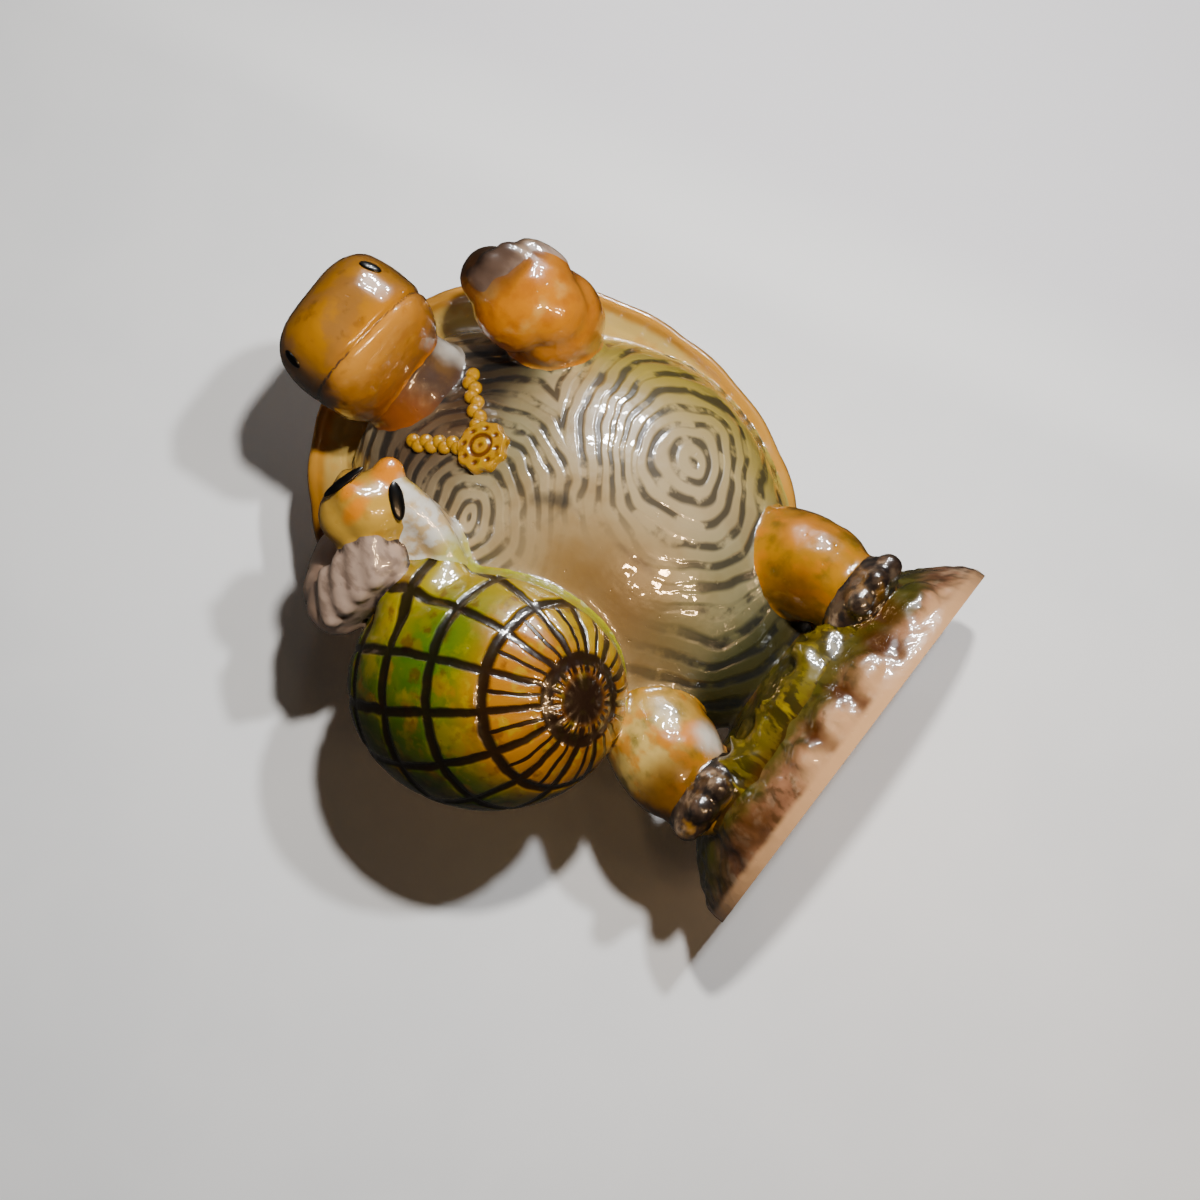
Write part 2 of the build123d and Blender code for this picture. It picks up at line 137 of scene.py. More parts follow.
def egg(middle, halves, along=(0, 0, 1), across=(1, 0, 0), sides=36, levels=17):
    # halves are across, the third way, and along
    zAxis = towards(along)
    yAxis = towards(np.cross(zAxis, across))
    xAxis = np.cross(yAxis, zAxis)
    turns = fullTurn(sides)[:, None]
    rings = []
    for level in np.radians(np.linspace(6, 174, levels)):
        flat = np.cos(turns) * xAxis * halves[0] + np.sin(turns) * yAxis * halves[1]
        rings.append(np.array(middle) + flat * math.sin(level) + zAxis * halves[2] * math.cos(level))
    return skinRings(rings)


forms = {}
turns = fullTurn(96)

# the mound: a stack of ellipses with stones along its foot
moundSizes = {
    "levels": ((-0.20, 1.0), (0.0, 1.0), (0.10, 1.0), (0.27, 0.955), (0.50, 0.86), (0.70, 0.75),
               (0.90, 0.56), (1.0, 0.40)),
    # where round the mound in degrees, how high, half width, half height
    "stones": ((-48, 0.30, 7.0, 4.5), (-77, 0.27, 4.5, 3.9), (-91.5, 0.26, 4.1, 3.7), (-104, 0.24, 4.3, 3.4),
               (-132, 0.32, 7.5, 4.7), (25, 0.32, 5.9, 4.0), (57, 0.30, 6.4, 4.5), (90, 0.28, 5.7, 4.0),
               (122, 0.32, 6.6, 4.5), (155, 0.28, 5.7, 3.8)),
    "inset": 0.985,         # room for the relief of the rock
    "holeMiddle": (0.0, 14.0),
    "holeRadius": 2.5,
    "holeDepth": 8.0,
}
moundHalf = (moundHigh - moundLow) / 2
moundHalf[:2] *= moundSizes["inset"]
moundTop = moundHigh[2]
forms["base_mound"] = [skinRings([
    ring(size * moundHalf[0] * np.cos(turns), size * moundHalf[1] * np.sin(turns), level * moundTop)
    for level, size in throughPoints(moundSizes["levels"], 4)])]
for angle, level, halfWidth, halfHeight in moundSizes["stones"]:
    turn = math.radians(angle)
    middle = ((moundHalf[0] - halfWidth) * math.cos(turn), (moundHalf[1] - halfWidth) * math.sin(turn),
              level * moundTop)
    forms["base_mound"].append(egg(middle, (halfWidth, halfWidth, halfHeight)))

# the belly and chest: a stack of ellipses
bellySizes = {
    # how high, half width and depth
    "levels": ((0.0, 0.30, 0.36), (0.12, 0.58, 0.64), (0.25, 0.80, 0.85), (0.38, 0.94, 0.97),
               (0.52, 0.99, 1.0), (0.66, 0.92, 0.92), (0.79, 0.77, 0.77), (0.90, 0.61, 0.62),
               (1.0, 0.42, 0.44)),
    "backShare": 0.2,       # the back of the belly stays inside the shell
}
bellyHalfWidth = (bellyHigh[0] - bellyLow[0]) / 2
bellyHeight = bellyHigh[2] - bellyLow[2]
bellyRows = throughPoints(bellySizes["levels"], 5)
forms["plastron"] = [skinRings([
    ring(middleX + wide * bellyHalfWidth * np.cos(turns),
         deep * bellyDepth * np.where(turns > math.pi, 1.0, bellySizes["backShare"]) * np.sin(turns),
         bellyLow[2] + level * bellyHeight)
    for level, wide, deep in bellyRows])]

# the back shell: half an egg whose brim is rolled in front
shellSizes = {
    # the front profile from the middle outwards: share of the half sizes, and y
    "frontProfile": ((0.30, -0.6), (0.84, -1.0), (0.895, -1.7), (0.925, -2.3), (0.955, -3.7), (0.98, -3.9),
                     (0.995, -3.0), (1.0, -1.6)),
    "scallop": 0.010,
    "scallopFrom": 0.95,    # the share in front, and the angle in radians behind, that the scallops reach to
    "scallopTo": 0.25,
    "marginals": 22,
    "backRings": (2, 86, 26),       # from and to which angle over the back, in degrees, and how many
}


def shellRing(share, y, scalloped):
    depth = shellSizes["scallop"] * scalloped
    wave = 1 - depth * (1 - np.abs(np.sin(turns * shellSizes["marginals"] / 2)))
    return ring(middleX + share * wave * shellHalfWidth * np.cos(turns), y,
                shellMiddleZ + share * wave * shellHalfHeight * np.sin(turns))


shellRings = [shellRing(share, y, share > shellSizes["scallopFrom"])
              for share, y in throughPoints(shellSizes["frontProfile"], 3)]
shellRings += [shellRing(math.cos(rise), shellDepth * math.sin(rise), rise < shellSizes["scallopTo"])
               for rise in np.radians(np.linspace(*shellSizes["backRings"]))]
forms["carapace"] = [skinRings(shellRings)]

# the neck and the head: rounded sections from the back of the skull to the snout
headSizes = {
    "neck": ((0.06, 0.15, 0.70, 0.58), (0.05, 0.32, 0.78, 0.98), (0.035, 0.46, 0.86, 0.92),
             (0.022, 0.64, 0.95, 0.52)),
    "neckRadius": 8.2,
    "back": (0.022, 0.33, 0.9125),
    "length": 25.6,
    "halfWidth": 10.2,
    "halfHeight": 8.3,
    # how far along, half width, half height, drop
    "sections": ((0.0, 0.60, 0.60, 0.0), (0.12, 0.86, 0.88, 0.0), (0.32, 0.98, 0.99, 0.0),
                 (0.58, 1.0, 1.0, 0.0), (0.80, 0.90, 0.88, 0.03), (0.93, 0.70, 0.66, 0.08),
                 (1.0, 0.42, 0.38, 0.12)),
    "squareness": 3.3,
    # the brows: where they stand on the head, and which way they face
    "brows": (((-0.222, 0.90, 0.957), (-0.80, -0.45, 0.40)), ((0.266, 0.90, 0.954), (0.80, -0.45, 0.40))),
    "browRadius": 2.6,
    "browDepth": 1.3,
}


def squared(wave):
    return np.sign(wave) * np.abs(wave)**(2 / headSizes["squareness"])


forms["neck"] = [limb([(*place(*row[:3]), row[3] * headSizes["neckRadius"]) for row in headSizes["neck"]])]
headBack = place(*headSizes["back"])
forms["head"] = [skinRings([
    ring(headBack[0] + wide * headSizes["halfWidth"] * squared(np.cos(turns)),
         headBack[1] - along * headSizes["length"],
         headBack[2] + headSizes["halfHeight"] * (high * squared(np.sin(turns)) - drop))
    for along, wide, high, drop in throughPoints(headSizes["sections"], 5)])]
for share, direction in headSizes["brows"]:
    forms["head"].append(egg(place(*share) - headSizes["browDepth"] * towards(direction),
                             (headSizes["browRadius"],) * 3))

# the arms: the left one is raised beside the head, the right one goes round the young turtle
armSizes = {
    "left": {
        "arm": (((0.60, 0.05, 0.735, 5.0), (0.61, 0.45, 0.722, 7.2), (0.61, 0.80, 0.712, 6.9),
                 (0.60, 0.97, 0.712, 5.2)),
                ((0.62, 0.84, 0.700, 4.6), (0.595, 0.90, 0.735, 7.4), (0.565, 0.93, 0.775, 6.9),
                 (0.56, 0.97, 0.805, 4.4))),
        "palm": (),
        "fingers": ((0.53, 1.04, 0.786), (0.605, 1.08, 0.782), (0.68, 1.08, 0.772), (0.75, 1.02, 0.758)),
        "direction": (-0.22, -0.40, 1.0),
        "length": 3.4,
        "radius": 2.1,
    },
    "right": {
        "arm": (((-0.50, 0.10, 0.76, 4.6), (-0.70, 0.30, 0.745, 6.2), (-0.86, 0.48, 0.725, 5.6),
                 (-0.93, 0.66, 0.705, 4.4)),),
        "palm": (((-0.93, 0.68, 0.704, 4.0), (-0.80, 0.86, 0.690, 4.1), (-0.68, 1.00, 0.672, 3.2)),),
        "fingers": ((-0.945, 0.86, 0.704), (-0.87, 0.95, 0.695), (-0.79, 1.02, 0.686), (-0.71, 1.08, 0.677)),
        "direction": (0.70, -0.32, 0.60),
        "length": 4.4,
        "radius": 1.75,
    },
}


# share of the length, and of the radius
fingerProfile = ((-0.5, 0.9), (0.0, 1.0), (0.6, 0.95), (0.85, 0.80))


def finger(root, direction, radius, length):
    root, direction = np.array(root, float), towards(direction)
    return limb([(*(root + direction * length * way), radius * size) for way, size in fingerProfile],
                steps=4, sides=20)


for side, sizes in armSizes.items():
    forms[side + "_arm"] = [limb(placed(rows)) for rows in sizes["arm"]]
    forms[side + "_hand"] = [limb(placed(rows)) for rows in sizes["palm"]] + [
        finger(place(*share), sizes["direction"], sizes["radius"], sizes["length"])
        for share in sizes["fingers"]]

# the legs and the feet
legSizes = {
    "left": {
        "leg": ((0.36, 0.22, 0.34, 3.6), (0.40, 0.36, 0.265, 7.0), (0.44, 0.50, 0.185, 7.2),
                (0.45, 0.58, 0.13, 5.0)),
        "foot": (0.445, 0.59, 0.122),
        "toeAngles": (-50, -18, 14),
    },
    "right": {
        "leg": ((-0.40, 0.20, 0.34, 3.6), (-0.50, 0.34, 0.265, 7.0), (-0.60, 0.46, 0.185, 7.4),
                (-0.64, 0.52, 0.13, 5.2)),
        "foot": (-0.62, 0.53, 0.125),
        "toeAngles": (-14, 18, 50),
    },
}
footSizes = {"half": (6.6, 6.6, 3.6), "toeRadius": 2.5, "toeLength": 3.4, "toeStart": 0.55, "toeDrop": 0.12}
for side, sizes in legSizes.items():
    footMiddle = place(*sizes["foot"])
    forms[side + "_leg"] = [limb(placed(sizes["leg"]))]
    forms[side + "_foot"] = [egg(footMiddle, footSizes["half"])]
    for angle in sizes["toeAngles"]:
        turn = math.radians(angle)
        ahead = np.array([-math.sin(turn), -math.cos(turn), -footSizes["toeDrop"]])
        root = footMiddle + footSizes["toeStart"] * footSizes["half"][0] * ahead
        forms[side + "_foot"].append(finger(root, ahead, footSizes["toeRadius"], footSizes["toeLength"]))

# grass between and beside the feet: blades that lie on the mound and cross each other
grassSizes = {
    "from": (9.5, -17.5, 12.0),
    "to": (-19.5, -15.5, 11.0),
    "bow": 3.2,             # how far the row comes forward and how far it sags, halfway
    "sag": 1.0,
    "rootDepth": 2.6,
    "blades": 28,
    "length": 5.8,
    "radii": (1.15, 1.15 * 1.15, 1.15 * 0.45),
    "arch": 0.55,
    "backward": 0.34,
    "lean": 42.0,
    "otherLean": -0.7,
    # no two blades are alike: how much they differ, and how fast that goes up and down along the row
    "rootWave": (0.9, 2.4),
    "leanWave": (0.35, 1.7),
    "lengthWave": (0.22, 3.1),
    # the ridge under the blades: how far along, how far off the row, and radius
    "ridge": ((0.0, (0, 1.8, -1.8), 2.6), (0.4, (0, -1.0, -2.2), 3.4), (1.0, (0, 1.8, -1.8), 2.4)),
}
grassStart, grassEnd = np.array(grassSizes["from"]), np.array(grassSizes["to"])


def grassWave(key, index):
    reach, pace = grassSizes[key]
    return reach * math.sin(index * pace)


forms["grass_tuft"] = []
for index in range(grassSizes["blades"]):
    way = index / (grassSizes["blades"] - 1)
    foot = grassStart + (grassEnd - grassStart) * way
    foot[1] -= grassSizes["bow"] * math.sin(math.pi * way)
    foot[2] -= (grassSizes["sag"] * math.sin(math.pi * way) + grassSizes["rootDepth"]
                + grassWave("rootWave", index))
    lean = math.radians(grassSizes["lean"]) * (1 if index % 2 else grassSizes["otherLean"])
    lean += grassWave("leanWave", index)
    length = grassSizes["length"] * (1 + grassWave("lengthWave", index))
    tip = foot + length * np.array([math.sin(lean), grassSizes["backward"], math.cos(lean)])
    middle = (foot + tip) / 2 + np.array([0, -grassSizes["arch"], 0])
    forms["grass_tuft"].append(limb([(*point, radius) for point, radius
                                     in zip((foot, middle, tip), grassSizes["radii"])], steps=4, sides=12))
forms["grass_tuft"].append(limb([(*(grassEnd * way + grassStart * (1 - way) + offset), radius)
                                 for way, offset, radius in grassSizes["ridge"]], steps=5))

# the young turtle
youngSizes = {
    "middle": (-0.825, 0.653, 0.462),
    "pole": (0.44, -0.50, -0.75),
    "poleHalf": 20.0,
    "roundHalf": 16.4,
    "rimWidth": 3.2,
    "rimReach": 4.0,
    "gridPole": (0.307, -0.677, -0.669),    # where the painted rings and spokes start, in degrees from there
    "ringFirst": 16.0,
    "ringStep": 26.0,
    "spokes": 13,
    "spokeFirst": 300.5,
    "head": ((-0.60, 1.02, 0.745, 4.8), (-0.53, 1.06, 0.735, 5.8), (-0.465, 1.09, 0.730, 5.0),
             (-0.405, 1.12, 0.733, 2.9), (-0.375, 1.14, 0.735, 2.2)),
    "neck": ((-0.50, 0.72, 0.60, 3.6), (-0.47, 0.90, 0.66, 4.0), (-0.45, 1.02, 0.71, 3.6)),
    "cheek": ((-0.50, 0.92, 0.600, 2.0), (-0.445, 1.02, 0.645, 2.4), (-0.43, 1.09, 0.690, 2.7),
              (-0.43, 1.11, 0.715, 2.6)),
    # the shoulder of the shell, where it runs up to the hand that holds it
    "shoulder": ((-0.72, 0.80, 0.585), (9.0, 7.5, 6.5)),
}
youngMiddle = place(*youngSizes["middle"])
gridPole = towards(youngSizes["gridPole"])
gridSide = towards(np.cross(gridPole, (0, 0, 1)))
gridThird = np.cross(gridPole, gridSide)
spokeStep = 360 / youngSizes["spokes"]
degreeLength = math.radians(1) * (youngSizes["roundHalf"] + youngSizes["poleHalf"]) / 2
shoulderShare, shoulderHalf = youngSizes["shoulder"]
forms["young_shell"] = [
    egg(youngMiddle, (youngSizes["roundHalf"],) * 2 + (youngSizes["poleHalf"],), along=youngSizes["pole"],
        sides=56, levels=29),
    egg(place(*shoulderShare), shoulderHalf)]
forms["young_neck"] = [limb(placed(youngSizes["neck"])), limb(placed(youngSizes["cheek"]))]
forms["young_head"] = [limb(placed(youngSizes["head"]))]
print("forms made:", sum(len(group) for group in forms.values()))


# one skin over all the forms, softened where they meet, then parted into the named pieces
skinSizes = {
    "voxel": 0.45,
    "softenSteps": 7,
    "poolSteps": 40,
    "fineSteps": 4,
    "partSteps": 4,
    "borderSteps": 4,
    "reach": 2.5,           # how far off a point's own form is looked for
    "far": 99.0,
    "grassLead": 0.25,      # the grass wins where it is about as near as the mound
    "leastShare": 0.05,     # where less of a point than this belongs to a piece, its relief is left out
    "floor": 0.05,          # what is lower than this belongs to the flat foot
}


def plainMesh(name, points, faces):
    mesh = bpy.data.meshes.new(name)
    mesh.from_pydata([tuple(p) for p in np.asarray(points) * mm], [], faces)
    mesh.update()
    return mesh


def addObject(name, data):
    made = bpy.data.objects.new(name, data)
    bpy.context.collection.objects.link(made)
    return made


def gathered(group):
    points, faces, start = [], [], 0
    for formPoints, formFaces in group:
        points.append(formPoints)
        faces += [tuple(i + start for i in face) for face in formFaces]
        start += len(formPoints)
    return np.vstack(points), faces


def readRows(collection, key, width, kind):
    values = np.empty(len(collection) * width, kind)
    collection.foreach_get(key, values)
    return values.reshape(-1, width)


everyForm = [form for group in forms.values() for form in group]
lump = addObject("lump", plainMesh("lump", *gathered(everyForm)))
remesh = lump.modifiers.new("skin", "REMESH")
remesh.mode = "VOXEL"
remesh.voxel_size = skinSizes["voxel"] * mm
evaluated = lump.evaluated_get(bpy.context.evaluated_depsgraph_get())
remeshed = evaluated.to_mesh()
skinPoints = readRows(remeshed.vertices, "co", 3, float) / mm
skinEdges = readRows(remeshed.edges, "vertices", 2, int)
skinFaces = np.array([list(face.vertices) for face in remeshed.polygons if len(face.vertices) == 4])
evaluated.to_mesh_clear()
bpy.data.objects.remove(lump)
print("skin points:", len(skinPoints), "faces:", len(skinFaces))

ends = np.concatenate([skinEdges[:, 0], skinEdges[:, 1]])
others = np.concatenate([skinEdges[:, 1], skinEdges[:, 0]])
neighbours = np.maximum(np.bincount(ends, minlength=len(skinPoints)), 1)


def spread(values, steps):
    # values drawn halfway to the mean of their neighbours, a few times over
    values = np.array(values, float)
    columns = values.reshape(len(values), -1)
    for step in range(steps):
        means = np.stack([np.bincount(ends, column[others], len(columns)) / neighbours
                          for column in columns.T], axis=1)
        columns = columns + (means - columns) * 0.5
    return columns.reshape(values.shape)


def cornerSums(faces, normals):
    # for each point, the sum of its faces' normals
    sums = np.zeros_like(skinPoints)
    for corner in range(4):
        for axis in range(3):
            sums[:, axis] += np.bincount(faces[:, corner], normals[:, axis], len(skinPoints))
    return sums


def skinNormals():
    corners = skinPoints[skinFaces]
    normals = np.cross(corners[:, 2] - corners[:, 0], corners[:, 3] - corners[:, 1])
    sums = cornerSums(skinFaces, normals)
    return sums / np.maximum(np.linalg.norm(sums, axis=1), 1e-12)[:, None], normals


trees = {}
for name, group in forms.items():
    points, faces = gathered(group)
    trees[name] = (BVHTree.FromPolygons([tuple(p) for p in points], faces), points.min(0), points.max(0))
pieceNames = list(forms) + ["young_rim"]


def distancesTo(name, reach=skinSizes["reach"]):
    tree, low, high = trees[name]
    near = np.all((skinPoints > low - reach) & (skinPoints < high + reach), axis=1)
    distances = np.full(len(skinPoints), skinSizes["far"])
    for index in np.nonzero(near)[0]:
        hit = tree.find_nearest(skinPoints[index], reach)
        if hit[3] is not None:
            distances[index] = hit[3]
    return distances


skinDistances = np.stack([distancesTo(name) for name in forms], axis=1)
skinDistances[:, pieceNames.index("grass_tuft")] -= skinSizes["grassLead"]
pieceOf = skinDistances.argmin(axis=1)
skinPoints = spread(skinPoints, skinSizes["softenSteps"])
print("pieces told apart")

# the pale rim of the young shell is the strip next to the belly
bellyReach = distancesTo("plastron", youngSizes["rimReach"])
strip = (pieceOf == pieceNames.index("young_shell")) & (bellyReach < youngSizes["rimWidth"])
pieceOf[strip] = pieceNames.index("young_rim")
membership = [spread((pieceOf == index).astype(float), skinSizes["partSteps"])
              for index in range(len(pieceNames))]
pieceOf = np.stack(membership, axis=1).argmax(axis=1)


# relief: how far the glaze stands out on each piece, in millimetres
reliefSizes = {
    "scuteGroove": 0.55,
    "scuteGrooveWidth": 0.75,
    "scuteRing": 0.10,
    "scuteRingPace": 2.6,
    "edgeScuteShare": 0.92,
    "edgeLead": 1.25,
    "shellFade": 2.0,       # how far back the scutes reach their full depth
    # clouds of bumps: size, where the noise starts, and share
    "rockBumps": ((3.4, 0.0, 1.0), (1.5, 7.0, 0.5)),
    "skinBumps": ((3.2, 3.0, 1.0), (1.4, 9.0, 0.4)),
    "rock": 0.38,
    "rockFrom": (0.8, 2.8),     # the rock fades in between these heights over the foot
    "skin": 0.17,
    "headCalm": 0.5,
    # a place on the line of the mouth, how it slopes across and towards the viewer, and where it fades in
    "mouth": (10.7, -24.0, 84.0),
    "mouthFrom": (15.0, 19.0),
    "mouthSlopes": (0.109, 0.2),
    "mouthDepth": 0.42,
    "mouthWidth": 0.42,
    "plateGroove": 0.30,
    "plateGrooveHalf": 0.65,
}
# the middles of the scutes, as shares of the shell's half width and half height
spineScutes = [(0.0, z) for z in (-0.60, -0.28, 0.05, 0.37, 0.64)]
sideScutes = [(side * x, z) for side in (-1, 1)
              for x, z in ((0.50, -0.46), (0.58, -0.14), (0.58, 0.20), (0.46, 0.50))]
edgeTurns = np.radians(np.arange(0, 360, 360 / shellSizes["marginals"]))
edgeScutes = reliefSizes["edgeScuteShare"] * np.stack([np.cos(edgeTurns), np.sin(edgeTurns)], axis=1)
scuteCentres = np.vstack([spineScutes, sideScutes, edgeScutes])


def scuteDistances(points):
    # how far a point is from the middle of its scute, and how much nearer that is than the next one
    flat = np.stack([(points[:, 0] - middleX) / shellHalfWidth,
                     (points[:, 2] - shellMiddleZ) / shellHalfHeight], axis=1)
    spans = np.linalg.norm((flat[:, None] - scuteCentres[None]) * (shellHalfWidth, shellHalfHeight), axis=2)
    spans[:, len(spineScutes) + len(sideScutes):] *= reliefSizes["edgeLead"]
    ordered = np.sort(spans, axis=1)
    return ordered[:, 0], ordered[:, 1] - ordered[:, 0]


def bumps(points, key):
    return sum(share * np.array([noise.noise(Vector(p)) for p in points / size + shift])
               for size, shift, share in reliefSizes[key])


def fadeIn(values, low, high):
    return np.clip((values - low) / (high - low), 0, 1)


def groove(gap, halfWidth):
    return np.exp(-(gap / halfWidth)**2)


def shellLift(points):
    centre, gap = scuteDistances(points)
    back = fadeIn(points[:, 1], 0, reliefSizes["shellFade"])
    return back * (-reliefSizes["scuteGroove"] * groove(gap, reliefSizes["scuteGrooveWidth"])
                   + reliefSizes["scuteRing"] * np.sin(centre * reliefSizes["scuteRingPace"]))


def moundLift(points):
    up = fadeIn(points[:, 2], *reliefSizes["rockFrom"])
    return up * reliefSizes["rock"] * bumps(points, "rockBumps")


def skinLift(points):
    return reliefSizes["skin"] * bumps(points, "skinBumps")


def headLift(points):
    # calmer skin, and the line of the mouth
    middle, slopes = reliefSizes["mouth"], reliefSizes["mouthSlopes"]
    mouthZ = middle[2] - slopes[0] * (points[:, 0] - middle[0]) - slopes[1] * (-points[:, 1] + middle[1])
    mouth = groove(points[:, 2] - mouthZ, reliefSizes["mouthWidth"]) * reliefSizes["mouthDepth"]
    mouth *= fadeIn(-points[:, 1], *reliefSizes["mouthFrom"])
    return skinLift(points) * reliefSizes["headCalm"] - mouth


def lineGap(angle, first, step):
    # the distance to the nearest line, of those that lie a step of degrees apart
    return np.abs(((angle - first) / step + 0.5) % 1 - 0.5) * step * degreeLength


def youngLift(points):
    # the cells of the young shell stand up between its painted lines
    out = points - youngMiddle
    polar = np.degrees(np.arccos((out @ gridPole) / np.linalg.norm(out, axis=1)))
    around = np.degrees(np.arctan2(out @ gridThird, out @ gridSide)) % 360
    spokeGap = lineGap(around, youngSizes["spokeFirst"], spokeStep) * np.sin(np.radians(polar))
    gap = np.minimum(lineGap(polar, youngSizes["ringFirst"], youngSizes["ringStep"]), spokeGap)
    return reliefSizes["plateGroove"] * (1 - groove(gap, reliefSizes["plateGrooveHalf"]))


lifts = {"carapace": shellLift, "base_mound": moundLift, "head": headLift, "neck": skinLift,
         "left_arm": skinLift, "right_arm": skinLift, "left_leg": skinLift, "right_leg": skinLift,
         "young_shell": youngLift}
skinNormal = skinNormals()[0]
rise = np.zeros(len(skinPoints))
for name, lift in lifts.items():
    share = membership[pieceNames.index(name)]
    inside = share > skinSizes["leastShare"]
    rise[inside] += share[inside] * lift(skinPoints[inside])
skinPoints = skinPoints + skinNormal * rise[:, None]

# the foot of the mound is ground flat, with the pour hole in it
flat = skinPoints[:, 2] < skinSizes["floor"]
skinPoints[flat, 2] = 0
fromHole = np.linalg.norm(skinPoints[:, :2] - np.array(moundSizes["holeMiddle"]), axis=1)
inHole = flat & (fromHole < moundSizes["holeRadius"])
skinPoints[inHole, 2] = moundSizes["holeDepth"]

# the borders between pieces are drawn smooth
ordered = np.sort(pieceOf[skinFaces], axis=1)
faceOf = np.where(ordered[:, 1] == ordered[:, 2], ordered[:, 1], ordered[:, 0])
edgeOwners = {}
for owner, face in zip(faceOf, skinFaces):
    for a, b in zip(face, np.roll(face, -1)):
        edgeOwners.setdefault((min(a, b), max(a, b)), []).append(owner)
borderEdges = np.array([key for key, owners in edgeOwners.items() if len(set(owners)) > 1])
onLine = np.bincount(borderEdges.ravel(), minlength=len(skinPoints)) == 2
borderEnds, borderOthers = borderEdges.T
for step in range(skinSizes["borderSteps"]):
    sums = np.stack([np.bincount(borderEnds, column[borderOthers], len(skinPoints))
                     + np.bincount(borderOthers, column[borderEnds], len(skinPoints))
                     for column in skinPoints.T], axis=1)
    skinPoints[onLine] = (skinPoints[onLine] + sums[onLine] / 2) / 2
skinPoints[flat & ~inHole, 2] = 0

# where glaze pools, and in the larger creases and between parts painted shade: how deep a point lies under
# the softened surface
skinNormal, faceNormals = skinNormals()
pool, fine = [np.einsum("ij,ij->i", spread(skinPoints, skinSizes[key]) - skinPoints, skinNormal)
              for key in ("poolSteps", "fineSteps")]
floorFace = np.all(flat[skinFaces], axis=1)
sideSums = cornerSums(skinFaces[~floorFace], faceNormals[~floorFace])
lengths = np.linalg.norm(sideSums, axis=1)
sideNormal = np.where(lengths[:, None] > 0, sideSums / np.maximum(lengths, 1e-12)[:, None], skinNormal)
print("relief done")

pieces = {}


def makePiece(name, title, points, faces, **saved):
    # a smooth piece on the body, with the values saved on its points
    mesh = plainMesh(title, points, faces)
    for label, values in saved.items():
        mesh.attributes.new(label, "FLOAT", "POINT").data.foreach_set("value", values)
    mesh.shade_smooth()
    piece = addObject(title, mesh)
    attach(piece, "root")
    pieces[name] = piece
    return piece


def skinPiece(name):
    # one named piece of the skin, with the whole skin's normals
    chosen = np.nonzero(faceOf == pieceNames.index(name))[0]
    faces = skinFaces[chosen]
    used, packed = np.unique(faces, return_inverse=True)
    packed = packed.reshape(faces.shape)
    piece = makePiece(name, name + "_glazed", skinPoints[used],
                      [tuple(int(i) for i in face) for face in packed], pool=pool[used], fine=fine[used])
    cornerNormals = sideNormal[faces.ravel()].copy()
    cornerNormals[np.repeat(floorFace[chosen], 4)] = (0, 0, -1)
    piece.data.normals_split_custom_set([tuple(n) for n in cornerNormals])
    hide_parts(name)


for name in pieceNames:
    skinPiece(name)
print("pieces made:", len(pieces))


# camera: the picture is taken from above while the figurine lies on its back
cameraSizes = {
    "place": (-31.3585, -298.3566, 0.1),
    "lens": 63.0,
    "sensor": 36.0,
    "foot": ((722, 922), (985, 575)),       # the ends of the mound's foot in the 1200 x 1200 picture
    "ahead": (0.08736571, 0.98662777, 0.13759676),
}


def placeCamera():
    # turned so that the foot of the mound lies in the picture as in the photograph
    start, end = np.array(cameraSizes["foot"], float)
    right = towards(end - start)
    rise = np.array([right[1], -right[0]])
    ahead = towards(cameraSizes["ahead"])
    level = towards(np.cross(ahead, (0, 0, 1)))
    upward = np.cross(level, ahead)
    cameraX = right[0] * level + rise[0] * upward
    cameraY = -right[1] * level - rise[1] * upward
    data = bpy.data.cameras.new("camera")
    data.lens, data.sensor_width = cameraSizes["lens"], cameraSizes["sensor"]
    data.clip_start = 0.01
    camera = addObject("camera", data)
    turn = Matrix([(*row,) for row in np.stack([cameraX, cameraY, -ahead], axis=1)]).to_4x4()
    camera.matrix_world = Matrix.Translation(Vector(cameraSizes["place"]) * mm) @ turn
    bpy.context.scene.camera = camera


placeCamera()


# shader groups that the painted pieces share; every place and size in them is in millimetres

def addNode(tree, kind, feeds=None, **settings):
    made = tree.nodes.new(kind)
    for key, value in settings.items():
        setattr(made, key, value)
    for key, value in (feeds or {}).items():
        join(tree, value, made.inputs[key])
    return made


def join(tree, value, socket):
    if isinstance(value, bpy.types.NodeSocket):
        tree.links.new(value, socket)
    else:
        socket.default_value = value


def useGroup(tree, name, feeds):
    return addNode(tree, "ShaderNodeGroup", feeds, node_tree=bpy.data.node_groups[name]).outputs[0]


def maths(tree, operation, first, second=0.0, clamp=False):
    feeds = {0: first, 1: second}
    return addNode(tree, "ShaderNodeMath", feeds, operation=operation, use_clamp=clamp).outputs[0]


def times(tree, first, second):
    return maths(tree, "MULTIPLY", first, second)


def plus(tree, first, second):
    return maths(tree, "ADD", first, second)


def minus(tree, first, second):
    return maths(tree, "SUBTRACT", first, second)


def vectors(tree, operation, first, second=(0, 0, 0)):
    made = addNode(tree, "ShaderNodeVectorMath", {0: first, 1: second}, operation=operation)
    return made.outputs["Value" if operation in ("LENGTH", "DOT_PRODUCT") else "Vector"]


def dotProduct(tree, spot, direction):
    return vectors(tree, "DOT_PRODUCT", spot, direction)


def allThree(tree, value):
    return addNode(tree, "ShaderNodeCombineXYZ", {"X": value, "Y": value, "Z": value}).outputs["Vector"]


def ramp(tree, value, low, high):
    return addNode(tree, "ShaderNodeMapRange", {"Value": value, "From Min": low, "From Max": high},
                   interpolation_type="SMOOTHSTEP").outputs["Result"]


def softEdge(tree, away, soft):
    # full inside one, nothing outside it
    return ramp(tree, away, plus(tree, 1.0, soft), minus(tree, 1.0, soft))


